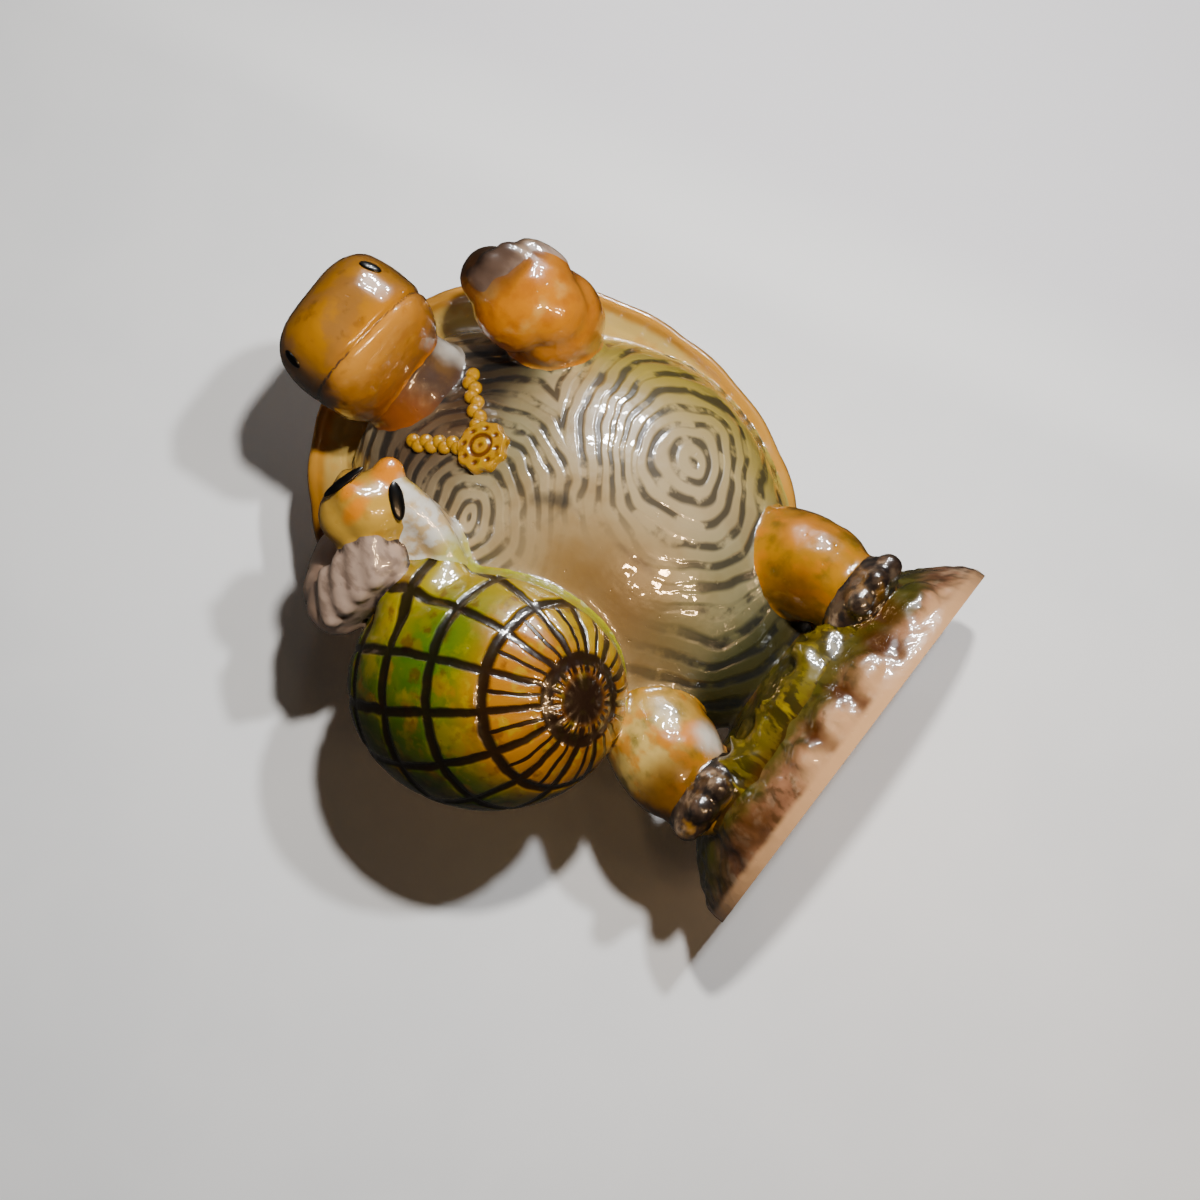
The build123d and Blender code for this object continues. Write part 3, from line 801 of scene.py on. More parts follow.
def surfacePlace(tree):
    spot = addNode(tree, "ShaderNodeTexCoord").outputs["Object"]
    return vectors(tree, "MULTIPLY", spot, (1 / mm,) * 3)


def cloud(tree, spot, size, detail=2.0, output="Fac"):
    scale = maths(tree, "DIVIDE", 1.0, size)
    feeds = {"Vector": spot, "Scale": scale, "Detail": detail}
    return addNode(tree, "ShaderNodeTexNoise", feeds).outputs[output]


def warped(tree, wobble, size=3.0):
    # the place on the surface, pushed about by up to the wobble, so that no brush mark has a drawn edge
    spot = surfacePlace(tree)
    push = vectors(tree, "SUBTRACT", cloud(tree, spot, size, output="Color"), (0.5, 0.5, 0.5))
    return vectors(tree, "ADD", spot, vectors(tree, "MULTIPLY", push, allThree(tree, wobble)))


def makeGroup(name, output, inputs):
    tree = bpy.data.node_groups.new(name, "ShaderNodeTree")
    for title, start in inputs.items():
        kind = "Vector" if isinstance(start, tuple) else "Float"
        socket = tree.interface.new_socket(title, in_out="INPUT", socket_type="NodeSocket" + kind)
        socket.default_value = start
    tree.interface.new_socket(output, in_out="OUTPUT", socket_type="NodeSocketFloat")
    return tree, tree.nodes.new("NodeGroupInput").outputs, tree.nodes.new("NodeGroupOutput").inputs[output]


def brushSpotGroup():
    tree, given, result = makeGroup("brushSpot", "Mask", {
        "Centre": (0, 0, 0), "Reach": (5, 5, 5), "Soft": 0.4, "Wobble": 2.0})
    out = vectors(tree, "SUBTRACT", warped(tree, given["Wobble"]), given["Centre"])
    away = vectors(tree, "LENGTH", vectors(tree, "DIVIDE", out, given["Reach"]))
    join(tree, softEdge(tree, away, given["Soft"]), result)


def brushStrokeGroup():
    tree, given, result = makeGroup("brushStroke", "Mask", {
        "Start": (0, 0, 0), "End": (1, 0, 0), "Width": 1.0, "Soft": 0.35, "Wobble": 0.8})
    fromStart = vectors(tree, "SUBTRACT", warped(tree, given["Wobble"], size=1.6), given["Start"])
    run = vectors(tree, "SUBTRACT", given["End"], given["Start"])
    way = maths(tree, "DIVIDE", dotProduct(tree, fromStart, run), dotProduct(tree, run, run), clamp=True)
    nearest = vectors(tree, "MULTIPLY", run, allThree(tree, way))
    away = vectors(tree, "LENGTH", vectors(tree, "SUBTRACT", fromStart, nearest))
    share = maths(tree, "DIVIDE", away, times(tree, given["Width"], 0.5))
    join(tree, softEdge(tree, share, given["Soft"]), result)


def brushBandGroup():
    tree, given, result = makeGroup("brushBand", "Mask", {
        "Direction": (0, 0, 1), "Low": 0.0, "High": 1.0, "Wobble": 2.0})
    height = dotProduct(tree, warped(tree, given["Wobble"]), given["Direction"])
    join(tree, ramp(tree, height, given["Low"], given["High"]), result)


def glazeMottleGroup():
    tree, given, result = makeGroup("glazeMottle", "Mask", {
        "Size": 3.0, "Stretch": (1, 1, 1), "Low": 0.45, "High": 0.6})
    spot = vectors(tree, "MULTIPLY", surfacePlace(tree), given["Stretch"])
    join(tree, ramp(tree, cloud(tree, spot, given["Size"], 4.0), given["Low"], given["High"]), result)


def savedValueGroup(name, label):
    # a value kept on the skin's points: how deep they lie in a hollow, where glaze pools and, in the larger
    # hollows, shade is painted
    tree, given, result = makeGroup(name, "Mask", {"Low": 0.0, "High": 1.0})
    kept = addNode(tree, "ShaderNodeAttribute", attribute_name=label).outputs["Fac"]
    join(tree, ramp(tree, kept, given["Low"], given["High"]), result)


skinHeights = {"grainSize": 0.35, "pinholeSize": 0.9, "pinholeEdges": (0.80, 0.86), "pinholeDepth": 0.03}


def glazeSkinGroup():
    # the fired surface: soft ripples of thick glaze, a fine grain and a few pinholes, as a height
    tree, given, result = makeGroup("glazeSkin", "Height", {
        "Ripple": 0.05, "RippleSize": 3.0, "Grain": 0.004})
    spot = surfacePlace(tree)
    ripple = times(tree, cloud(tree, spot, given["RippleSize"]), given["Ripple"])
    grain = times(tree, cloud(tree, spot, skinHeights["grainSize"]), given["Grain"])
    holes = ramp(tree, cloud(tree, spot, skinHeights["pinholeSize"], 0.0), *skinHeights["pinholeEdges"])
    holes = times(tree, holes, skinHeights["pinholeDepth"])
    join(tree, plus(tree, ripple, minus(tree, grain, holes)), result)


ringShape = 2.4             # two would make the growth rings oval, more makes them squarer


def growthRingsGroup():
    # how many rings out a place on the belly lies from a whorl, seen from the front
    tree, given, result = makeGroup("growthRings", "Rings", {
        "Centre": (0, 0, 0), "Along": (0.8, 0, 0.6), "Across": (0.6, 0, -0.8), "Wobble": 1.0})
    spot = vectors(tree, "SUBTRACT", warped(tree, given["Wobble"], size=11.0), given["Centre"])
    reaches = [maths(tree, "POWER", maths(tree, "ABSOLUTE", dotProduct(tree, spot, given[way])), ringShape)
               for way in ("Along", "Across")]
    join(tree, maths(tree, "POWER", plus(tree, *reaches), 1 / ringShape), result)


for build in (brushSpotGroup, brushStrokeGroup, brushBandGroup, glazeMottleGroup, glazeSkinGroup,
              growthRingsGroup):
    build()
savedValueGroup("pooledGlaze", "pool")
savedValueGroup("fineHollow", "fine")
print("shader groups made")

glazes = {
    "cream": "d8c8ac", "taupe": "a2835a", "ink": "35373a", "inkBrown": "2a1d16", "greyGreen": "8d9276",
    "sage": "d0be78", "oliveDark": "3f4022", "olive": "6c6a2c", "brimPale": "f2dca6",
    "brimOrange": "e0aa58", "brimBrownAndShadow": "8a6632", "shellBrown": "6a4a22", "shellAmber": "c0903a",
    "tan": "c89c62", "tanGrey": "a8866a", "ochre": "c99a44", "orange": "e2a548", "orangeDeep": "c88a30",
    "shadedThroat": "c08038", "white": "fffaf0", "gold": "d2aa14", "goldDark": "7c4e0c", "mustard": "cfa236",
    "brown": "6f4e2a", "greyBrown": "6c5a50", "paleTanAndHighlight": "e0c8b0", "toePale": "d2bca6",
    "peach": "c8a088", "peachPale": "f2ccaa", "rockBrown": "6e4a2e", "grassLime": "94883a",
    "grassOlive": "84742e", "grassDark": "433c1c", "lime": "8c9c1a", "limeDark": "668a18",
    "yellow": "d2be48", "amber": "cc9a24", "amberBrown": "7d4c16", "rimGreen": "cfcf74",
    "flame": "f2ae00", "youngCream": "e2c084", "pinkTan": "d2beb0", "black": "0d0b10",
}

# a fired glaze is deeper and stronger in colour than its chart, and gives back less light
firing = {"depth": 1.3, "strength": 1.3, "share": 0.58, "least": 0.002}
lightWeights = np.array((0.2126, 0.7152, 0.0722))


def tint(name):
    code = glazes[name]
    channels = np.array([int(code[at:at + 2], 16) / 255 for at in (0, 2, 4)])
    light = np.where(channels <= 0.04045, channels / 12.92, ((channels + 0.055) / 1.055)**2.4)
    light = light**firing["depth"]
    grey = light @ lightWeights
    fired = np.maximum(grey + (light - grey) * firing["strength"], firing["least"]) * firing["share"]
    return [*fired.tolist(), 1.0]


# the coats that a glaze is painted with, places and sizes in millimetres

def coat(glaze, amount, group, **feeds):
    return {"glaze": glaze, "amount": amount, "group": group, "feeds": feeds}


def spot(glaze, centre, reach, amount, soft=0.4, wobble=2.0):
    return coat(glaze, amount, "brushSpot", Centre=centre, Reach=reach, Soft=soft, Wobble=wobble)


def stroke(glaze, start, end, width, amount, soft):
    return coat(glaze, amount, "brushStroke", Start=start, End=end, Width=width, Soft=soft)


def band(glaze, direction, low, high, amount, wobble):
    return coat(glaze, amount, "brushBand", Direction=tuple(towards(direction)), Low=low, High=high,
                Wobble=wobble)


def mottle(glaze, size, low, high, amount, stretch=(1, 1, 1)):
    return coat(glaze, amount, "glazeMottle", Size=size, Low=low, High=high, Stretch=stretch)


# a darker coat in the hollows: glaze pooled in fine grooves, and painted shade in the larger creases and
# between parts
def pooled(glaze, low, high, amount, group="pooledGlaze"):
    return coat(glaze, amount, group, Low=low, High=high)


def mixed(tree, mask, under, over):
    return addNode(tree, "ShaderNodeMix", {0: mask, 6: under, 7: over}, data_type="RGBA").outputs[2]


def layered(tree, colour, layers):
    # coats of glaze, one over the other
    for layer in layers:
        mask = times(tree, useGroup(tree, layer["group"], layer["feeds"]), layer["amount"])
        colour = mixed(tree, mask, colour, tint(layer["glaze"]))
    return colour


glazeShader = {"Roughness": 0.30, "Coat Weight": 1.0, "Coat Roughness": 0.035, "IOR": 1.5,
               "Specular IOR Level": 0.25}
glazeRipple = {"height": 0.10, "size": 2.6}


def startMaterial(name, sockets):
    material = bpy.data.materials.new(name)
    material.use_nodes = True
    shader = material.node_tree.nodes["Principled BSDF"]
    for socket, value in sockets.items():
        shader.inputs[socket].default_value = value
    return material, material.node_tree, shader


def groundGlaze(tree, name):
    ground = addNode(tree, "ShaderNodeRGB").outputs[0]
    ground.default_value = tint(name)
    return ground


def finishGlaze(tree, shader, colour, ripple=1.0, extraHeight=None):
    join(tree, colour, shader.inputs["Base Color"])
    height = useGroup(tree, "glazeSkin", {"Ripple": glazeRipple["height"] * ripple,
                                          "RippleSize": glazeRipple["size"]})
    if extraHeight is not None:
        height = plus(tree, height, extraHeight)
    bump = addNode(tree, "ShaderNodeBump", {"Height": height, "Distance": mm}).outputs["Normal"]
    join(tree, bump, shader.inputs["Normal"])
    join(tree, bump, shader.inputs["Coat Normal"])


def paintGlaze(name, paint):
    material, tree, shader = startMaterial(name, glazeShader)
    colour = layered(tree, groundGlaze(tree, paint["ground"]), paint["layers"])
    finishGlaze(tree, shader, colour, paint.get("ripple", 1.0))
    return material


def dress(material, slotName, *names):
    for name in names:
        pieces[name].data.materials.append(material)


# the mound, its stones and its grass
moundPaint = {"ground": "peach", "ripple": 1.6, "layers": (
    mottle("rockBrown", 4.5, 0.44, 0.64, 0.75, (1, 1, 0.5)),
    mottle("paleTanAndHighlight", 2.6, 0.50, 0.66, 0.7),
    band("olive", (0, 0, 1), 4.4, 8.0, 0.9, 5.0),
    mottle("oliveDark", 1.6, 0.50, 0.64, 0.6, (1, 1, 0.4)),
    spot("olive", (17, -17, 8), (8, 12, 3.5), 0.7),
    spot("olive", (-27, -6, 7), (4, 14, 5), 0.8),
    spot("brown", (15.0, -19, 7.2), (2.2, 6, 2.2), 0.8, 0.6),
    spot("brown", (-20, -20, 4.0), (7, 8, 2.4), 0.8, 0.6),
    spot("inkBrown", (-25.5, -18, 3.4), (3.5, 10, 2.4), 0.45, 0.7),
    pooled("rockBrown", 0.1, 0.6, 0.9),
    pooled("greyBrown", 0.03, 0.10, 0.6, "fineHollow"),
    spot("rockBrown", (2.3, -25, 4.6), (1.5, 6, 3.6), 0.95, 0.5, 1.2),
    spot("rockBrown", (-3.9, -25, 4.4), (1.3, 6, 3.4), 0.95, 0.5, 1.2),
    spot("rockBrown", (11.1, -22, 4.8), (1.9, 6, 3.8), 0.9, 0.5, 1.2),
    spot("peachPale", (6.8, -25, 3.0), (3.0, 6, 2.4), 0.75, 0.6),
    spot("peachPale", (-0.8, -25, 2.8), (2.4, 6, 2.2), 0.75, 0.6),
    spot("peachPale", (-7.3, -25, 2.6), (2.8, 6, 2.2), 0.75, 0.6),
    spot("peachPale", (20, -18, 2.2), (8, 9, 1.7), 0.75, 0.6),
    band("peachPale", (0, 0, -1), -2.3, -1.3, 0.95, 0.5),
)}
dress(paintGlaze("moundPaint", moundPaint), "mound_paint", "base_mound")

grassPaint = {"ground": "grassOlive", "ripple": 1.0, "layers": (
    mottle("grassLime", 2.2, 0.46, 0.62, 0.85, (1, 1, 0.35)),
    mottle("yellow", 1.4, 0.56, 0.68, 0.45, (1, 1, 0.3)),
    mottle("grassDark", 1.2, 0.46, 0.56, 0.85, (1, 1, 0.3)),
    spot("grassLime", (3, -19, 13), (4, 8, 3), 0.5, 0.6),
    spot("grassLime", (-9, -20, 12.5), (4, 8, 3), 0.4, 0.6),
    pooled("grassDark", 0.05, 0.5, 0.9),
    pooled("grassDark", 0.02, 0.08, 0.9, "fineHollow"),
    band("rockBrown", (0, 0, -1), -10.0, -7.0, 0.6, 3.0),
)}
dress(paintGlaze("grassPaint", grassPaint), "grass_paint", "grass_tuft")

# the belly: brushed growth rings round the middles of its plates
bellyPaint = {
    "ground": "cream",
    # the middle of each whorl, and how far apart its rings lie up and across the picture
    "whorls": (((15.5, -22, 40.9), 2.9, 2.1), ((-8.5, -22, 59.9), 2.3, 1.9)),
    "up": (0.797, 0, 0.604),
    "across": (0.604, 0, -0.797),
    "wobble": 5.0,
    "lineEdges": (0.36, 0.80),
    "ink": 0.82,
    "groove": 0.12,
    # the ink is thin in places, and there is hardly any in the calm band
    "broken": {"Size": 3.4, "Low": 0.38, "High": 0.52},
    "coats": (
        mottle("taupe", 7.0, 0.44, 0.66, 0.4),
        spot("taupe", (-6, -22, 37), (11, 20, 15), 0.75, 0.8),
        spot("brown", (-5, -24, 33), (5, 20, 9), 0.45, 0.9),
        spot("sage", (26, -9, 57), (9, 16, 14), 0.85, 0.6),
        spot("sage", (24, -9, 36), (8, 16, 15), 0.8, 0.6),
        spot("cream", (15, -20, 41), (9, 12, 10), 0.7, 0.7),
        spot("greyGreen", (19, -14, 68), (9, 12, 5), 0.8, 0.6),
        spot("greyGreen", (3, -20, 63), (8, 14, 6), 0.5, 0.8),
        # grey-brown glaze on the chest, darkened further as painted shade under the chin and the raised arm
        spot("greyBrown", (0, -17, 74), (15, 14, 9), 0.85, 0.6),
        spot("inkBrown", (12, -18, 71), (10, 14, 5), 0.80, 0.6),
        spot("oliveDark", (-4, -12, 17.5), (20, 14, 7), 0.95, 0.6),
        spot("greyGreen", (5, -16, 27), (12, 12, 6), 0.5, 0.8),
        pooled("oliveDark", 0.3, 1.2, 0.7),
        spot("shellBrown", (0, 9, 18), (20, 7, 14), 0.95, 0.3),
    ),
    "calm": spot("cream", (-5.5, -22, 40), (9, 20, 13), 0.95, 0.5),
    "strokes": (
        stroke("ink", (0.6, -24, 50.5), (-1.5, -23, 53.5), 2.2, 0.75, 0.6),
        stroke("ink", (0.3, -24, 49.5), (-4.5, -23, 50.5), 1.4, 0.6, 0.6),
        stroke("greyBrown", (0.4, -24, 49.0), (0.1, -22, 27.5), 1.1, 0.55, 0.7),
        stroke("ink", (2.6, -22, 66.5), (4.8, -22, 61.0), 1.0, 0.75, 0.5),
        stroke("ink", (5.4, -22, 70.5), (9.0, -21, 64.5), 1.1, 0.70, 0.5),
        stroke("ink", (15.8, -22, 41.2), (17.2, -22, 42.6), 0.9, 0.75, 0.4),
    ),
}


def paintBelly():
    paint = bellyPaint
    material, tree, shader = startMaterial("bellyPaint", glazeShader)
    colour = layered(tree, groundGlaze(tree, paint["ground"]), paint["coats"])
    rings = []
    for middle, upStep, acrossStep in paint["whorls"]:
        along, across = np.array(paint["up"]) / upStep, np.array(paint["across"]) / acrossStep
        feeds = {"Centre": middle, "Along": tuple(along), "Across": tuple(across), "Wobble": paint["wobble"]}
        rings.append(useGroup(tree, "growthRings", feeds))
    part = maths(tree, "FRACT", maths(tree, "MINIMUM", *rings))
    peak = times(tree, maths(tree, "ABSOLUTE", minus(tree, part, 0.5)), 2.0)
    line = ramp(tree, peak, *paint["lineEdges"])
    broken = useGroup(tree, "glazeMottle", paint["broken"])
    calm = useGroup(tree, "brushSpot", paint["calm"]["feeds"])
    loud = minus(tree, 1.0, times(tree, calm, paint["calm"]["amount"]))
    inked = times(tree, times(tree, line, broken), loud)
    colour = mixed(tree, times(tree, inked, paint["ink"]), colour, tint("ink"))
    colour = layered(tree, colour, paint["strokes"])
    finishGlaze(tree, shader, colour, extraHeight=times(tree, times(tree, line, loud), -paint["groove"]))
    return material


dress(paintBelly(), "belly_paint", "plastron")

# the back shell: pale ochre brim, honey-brown scutes behind
shellPaint = {"ground": "shellAmber", "layers": (
    mottle("olive", 9.0, 0.45, 0.62, 0.75),
    mottle("shellBrown", 5.0, 0.50, 0.66, 0.7),
    pooled("inkBrown", 0.02, 0.11, 0.9, "fineHollow"),
    band("brimOrange", (0, -1, 0), -4.0, -0.5, 1.0, 1.0),
    band("brimPale", (0, -1, 0), 0.2, 1.2, 0.9, 0.8),
    band("brimOrange", (0, -1, 0), 2.0, 3.0, 0.75, 0.8),
    pooled("brimOrange", 0.03, 0.13, 0.8, "fineHollow"),
    # the left brim: brown glaze, darkened further as painted shadow from the young turtle's head
    spot("brimBrownAndShadow", (-27, -3, 72), (16, 12, 20), 0.85, 0.4),
    pooled("oliveDark", 0.8, 2.4, 0.6),
    mottle("brimOrange", 4.0, 0.52, 0.70, 0.35),
)}
dress(paintGlaze("shellPaint", shellPaint), "shell_paint", "carapace")

headPaint = {"ground": "orange", "layers": (
    mottle("orangeDeep", 4.0, 0.46, 0.70, 0.55),
    # painted shade: darker orange under the jaw
    spot("shadedThroat", (4, -14, 78), (12, 8, 4), 0.6, 0.6),
    # painted light: the front of the jaw paler, where it faces down
    spot("brimPale", (2.5, -31, 81.5), (8, 8, 3.4), 0.6, 0.8),
    band("tan", (0.109, -0.2, 1), 87.2, 88.2, 0.92, 0.6),
    spot("ochre", (2, -34, 88), (8, 8, 5.0), 0.85, 0.6),
    mottle("ochre", 3.0, 0.52, 0.70, 0.5),
    mottle("tanGrey", 4.5, 0.48, 0.64, 0.55),
    mottle("brown", 2.2, 0.56, 0.72, 0.45),
    spot("tanGrey", (-8.5, -24, 90), (3.6, 9, 7), 0.85, 0.7),
    spot("tanGrey", (10.5, -20, 93.5), (4, 9, 4.5), 0.8, 0.7),
    # painted shade: the sides of the head darker brown
    spot("brown", (-9.5, -22, 86.0), (2.6, 9, 3.4), 0.6, 0.8),
    spot("brown", (10.5, -19, 85.5), (3.4, 8, 4.0), 0.5, 0.8),
    stroke("brown", (-8.6, -28, 84.6), (-2.0, -32, 83.2), 1.3, 0.7, 0.6),
    stroke("greyBrown", (0.5, -34, 83.0), (11.5, -24, 84.6), 0.9, 0.75, 0.6),
    spot("orange", (3, -30, 80), (10, 10, 4.5), 0.7, 0.6),
    pooled("greyBrown", 0.04, 0.12, 0.95, "fineHollow"),
    # painted shade: darker orange in the hollows of the head
    pooled("shadedThroat", 0.3, 1.2, 0.7),
)}
dress(paintGlaze("headPaint", headPaint), "head_paint", "head")

neckPaint = {"ground": "greyBrown", "layers": (
    mottle("taupe", 4.0, 0.40, 0.75, 0.4),
    stroke("inkBrown", (2.5, -24, 79.5), (3.5, -24, 70), 1.2, 0.7, 0.6),
    stroke("inkBrown", (5.5, -24, 79.5), (6.5, -23, 71), 1.0, 0.7, 0.6),
    stroke("ink", (-0.5, -24, 78.5), (0.5, -24, 70), 1.1, 0.6, 0.6),
    # painted shade: darker orange on the neck under the head
    spot("shadedThroat", (-6, -16, 76), (6, 10, 6), 0.8, 0.6),
    spot("white", (11.5, -20, 78), (3.6, 12, 5.0), 0.95, 0.5),
    pooled("inkBrown", 0.2, 1.2, 0.7),
)}
dress(paintGlaze("neckPaint", neckPaint), "skin_paint", "neck")

armPaint = {"ground": "orange", "layers": (
    mottle("orangeDeep", 3.0, 0.44, 0.66, 0.6),
    mottle("brimPale", 5.0, 0.55, 0.70, 0.35),
    spot("greyBrown", (23.5, -25, 77), (9, 10, 4.2), 0.92, 0.5),
    spot("inkBrown", (18.8, -26, 80.4), (3.4, 8, 2.8), 0.85, 0.6),
    spot("pinkTan", (-27, -14, 70), (12, 14, 10), 0.9, 0.3),
    pooled("brown", 0.4, 1.6, 0.75),
)}
dress(paintGlaze("armPaint", armPaint), "skin_paint", "left_arm", "right_arm")

handPaint = {"ground": "pinkTan", "layers": (
    spot("greyBrown", (21.5, -26, 78), (9, 9, 4.2), 0.92, 0.5),
    spot("inkBrown", (18.6, -26, 80.6), (3.4, 8, 2.6), 0.9, 0.5),
    # painted highlight on the knuckles
    spot("paleTanAndHighlight", (24.4, -24, 75.0), (2.0, 5, 1.6), 0.8, 0.6),
    mottle("greyBrown", 2.2, 0.48, 0.66, 0.5, (1, 1, 0.5)),
    stroke("greyBrown", (-24.4, -28, 70.5), (-26.4, -26, 66.0), 1.2, 0.8, 0.5),
    stroke("greyBrown", (-21.2, -29, 69.0), (-23.6, -28, 64.0), 1.2, 0.85, 0.5),
    stroke("greyBrown", (-18.2, -30, 67.6), (-20.6, -29, 62.5), 1.2, 0.8, 0.5),
    pooled("greyBrown", 0.05, 0.4, 0.95),
    pooled("ink", 0.02, 0.08, 0.8, "fineHollow"),
)}
dress(paintGlaze("handPaint", handPaint), "hand_paint", "left_hand", "right_hand")

legPaint = {"ground": "mustard", "layers": (
    # painted highlight on the right leg
    spot("brimPale", (-18, -18, 23), (8, 12, 5), 0.85, 0.6),
    mottle("olive", 3.0, 0.42, 0.70, 0.65),
    mottle("orange", 2.4, 0.50, 0.68, 0.7, (1, 1, 0.7)),
    spot("orange", (17.8, -16, 23.5), (3.0, 6, 2.4), 0.8, 0.5),
    spot("orange", (19.0, -12, 20), (2.2, 6, 2.6), 0.8, 0.5),
    spot("brown", (8.6, -20, 18.5), (5.0, 8, 6.5), 0.85, 0.6),
    spot("flame", (-13.4, -16, 18.3), (1.8, 6, 1.7), 0.9, 0.4),
    spot("orange", (-15.9, -18, 20.6), (1.3, 6, 1.2), 0.8, 0.4),
    spot("white", (-11.8, -18, 16.0), (2.0, 6, 2.6), 0.85, 0.6),
    spot("brown", (-21.5, -16, 16), (6, 9, 4), 0.75, 0.6),
    pooled("brown", 0.25, 1.2, 0.8),
)}
dress(paintGlaze("legPaint", legPaint), "skin_paint", "left_leg", "right_leg")

footPaint = {"ground": "toePale", "layers": (
    mottle("greyBrown", 2.6, 0.32, 0.54, 0.9),
    mottle("ink", 2.2, 0.44, 0.60, 0.85),
    # painted shadow: the underside of the feet darker, and darker still where they meet the mound
    band("inkBrown", (0, 0, -1), -12.6, -10.8, 0.8, 1.5),
    pooled("inkBrown", 0.0, 0.35, 0.9),
    pooled("ink", 0.01, 0.07, 0.9, "fineHollow"),
    mottle("mustard", 4.0, 0.54, 0.68, 0.4),
)}
dress(paintGlaze("footPaint", footPaint), "foot_paint", "left_foot", "right_foot")

# the young turtle's shell: glazed cells between brushed rings and spokes round its pole
youngShellPaint = {
    "ringWidth": 1.75,
    "spokeWidth": 1.5,
    "wedgeWidth": 0.80,
    "soft": 0.32,
    "wobble": 1.3,
    "ink": 0.96,
    "groove": 0.12,
    "poleWidening": 0.35,   # the spokes grow this much less narrow towards the pole
    # degrees from the pole: the dark blob there, where its ink fades out and the spokes begin,
    # and how far out the warmer colours reach
    "blobFade": (13.0, 8.0),
    "spokeFade": (8.0, 12.0),
    "wedgeFade": (1.0, -1.0),       # round the ring that the wedges end at
    "amberFade": (66.0, 36.0),
    "brownFade": (34.0, 8.0),
    "brownShare": 0.7,
    "coats": (
        mottle("limeDark", 3.0, 0.46, 0.62, 0.6),
        mottle("yellow", 4.5, 0.50, 0.64, 0.6),
        mottle("amber", 3.5, 0.52, 0.66, 0.65),
    ),
    "topCoats": (
        mottle("yellow", 1.8, 0.52, 0.66, 0.5),
        spot("yellow", (-12, -24, 52), (10, 14, 7), 0.8, 0.6),
        spot("yellow", (-9.5, -24, 40), (5, 12, 10), 0.8, 0.6),
        spot("yellow", (-22, -26, 58), (8, 14, 4), 0.7, 0.6),
        spot("limeDark", (-24, -31, 51), (7, 9, 6), 0.55, 0.6),
        mottle("amberBrown", 2.4, 0.54, 0.70, 0.6),
        # painted shade: the left edge of the young shell darker
        spot("oliveDark", (-41, -16, 47), (10, 30, 20), 0.75, 0.7),
    ),
}


def paintYoungShell():
    paint = youngShellPaint
    material, tree, shader = startMaterial("youngShellPaint", glazeShader)
    out = vectors(tree, "SUBTRACT", warped(tree, paint["wobble"], size=5.0), tuple(youngMiddle))
    poleward, sideward, thirdward = [dotProduct(tree, out, tuple(way))
                                     for way in (gridPole, gridSide, gridThird)]
    cosine = maths(tree, "DIVIDE", poleward, vectors(tree, "LENGTH", out))
    polar = maths(tree, "DEGREES", maths(tree, "ARCCOSINE", cosine))
    around = maths(tree, "DEGREES", maths(tree, "ARCTAN2", thirdward, sideward))
    reach = maths(tree, "SINE", maths(tree, "RADIANS", polar))
    narrowing = plus(tree, paint["poleWidening"], times(tree, reach, 1 - paint["poleWidening"]))
    narrowing = maths(tree, "DIVIDE", reach, narrowing)

    def gapTo(angle, first, step):
        part = maths(tree, "FRACT", plus(tree, maths(tree, "DIVIDE", angle, step), 10.5 - first / step))
        return times(tree, maths(tree, "ABSOLUTE", minus(tree, part, 0.5)), step * degreeLength)

    def inkLine(gap, width):
        return ramp(tree, gap, width * (0.5 + paint["soft"] / 2), width * (0.5 - paint["soft"] / 2))

    def spokeLine(first, width):
        return inkLine(times(tree, gapTo(around, first, spokeStep), narrowing), width)

    first, wedgeEnd = youngSizes["spokeFirst"], youngSizes["ringFirst"] + youngSizes["ringStep"]
    rings = inkLine(gapTo(polar, youngSizes["ringFirst"], youngSizes["ringStep"]), paint["ringWidth"])
    wedges = times(tree, spokeLine(first + spokeStep / 2, paint["wedgeWidth"]),
                   ramp(tree, polar, *(wedgeEnd + fade for fade in paint["wedgeFade"])))
    spokes = times(tree, maths(tree, "MAXIMUM", spokeLine(first, paint["spokeWidth"]), wedges),
                   ramp(tree, polar, *paint["spokeFade"]))
    ink = maths(tree, "MAXIMUM", rings, spokes)
    ink = maths(tree, "MAXIMUM", ink, ramp(tree, polar, *paint["blobFade"]))
    colour = layered(tree, groundGlaze(tree, "lime"), paint["coats"])
    colour = mixed(tree, ramp(tree, polar, *paint["amberFade"]), colour, tint("amber"))
    colour = mixed(tree, times(tree, ramp(tree, polar, *paint["brownFade"]), paint["brownShare"]), colour,
                   tint("amberBrown"))
    colour = layered(tree, colour, paint["topCoats"])
    colour = mixed(tree, times(tree, ink, paint["ink"]), colour, tint("inkBrown"))
    finishGlaze(tree, shader, colour, extraHeight=times(tree, ink, -paint["groove"]))
    return material


dress(paintYoungShell(), "young_shell_paint", "young_shell")

youngRimPaint = {"ground": "rimGreen", "layers": (
    mottle("yellow", 2.5, 0.48, 0.62, 0.7),
    mottle("lime", 3.5, 0.52, 0.66, 0.5),
    pooled("olive", 0.4, 1.6, 0.6),
    mottle("white", 3.0, 0.58, 0.70, 0.5),
)}
dress(paintGlaze("youngRimPaint", youngRimPaint), "young_rim_paint", "young_rim")

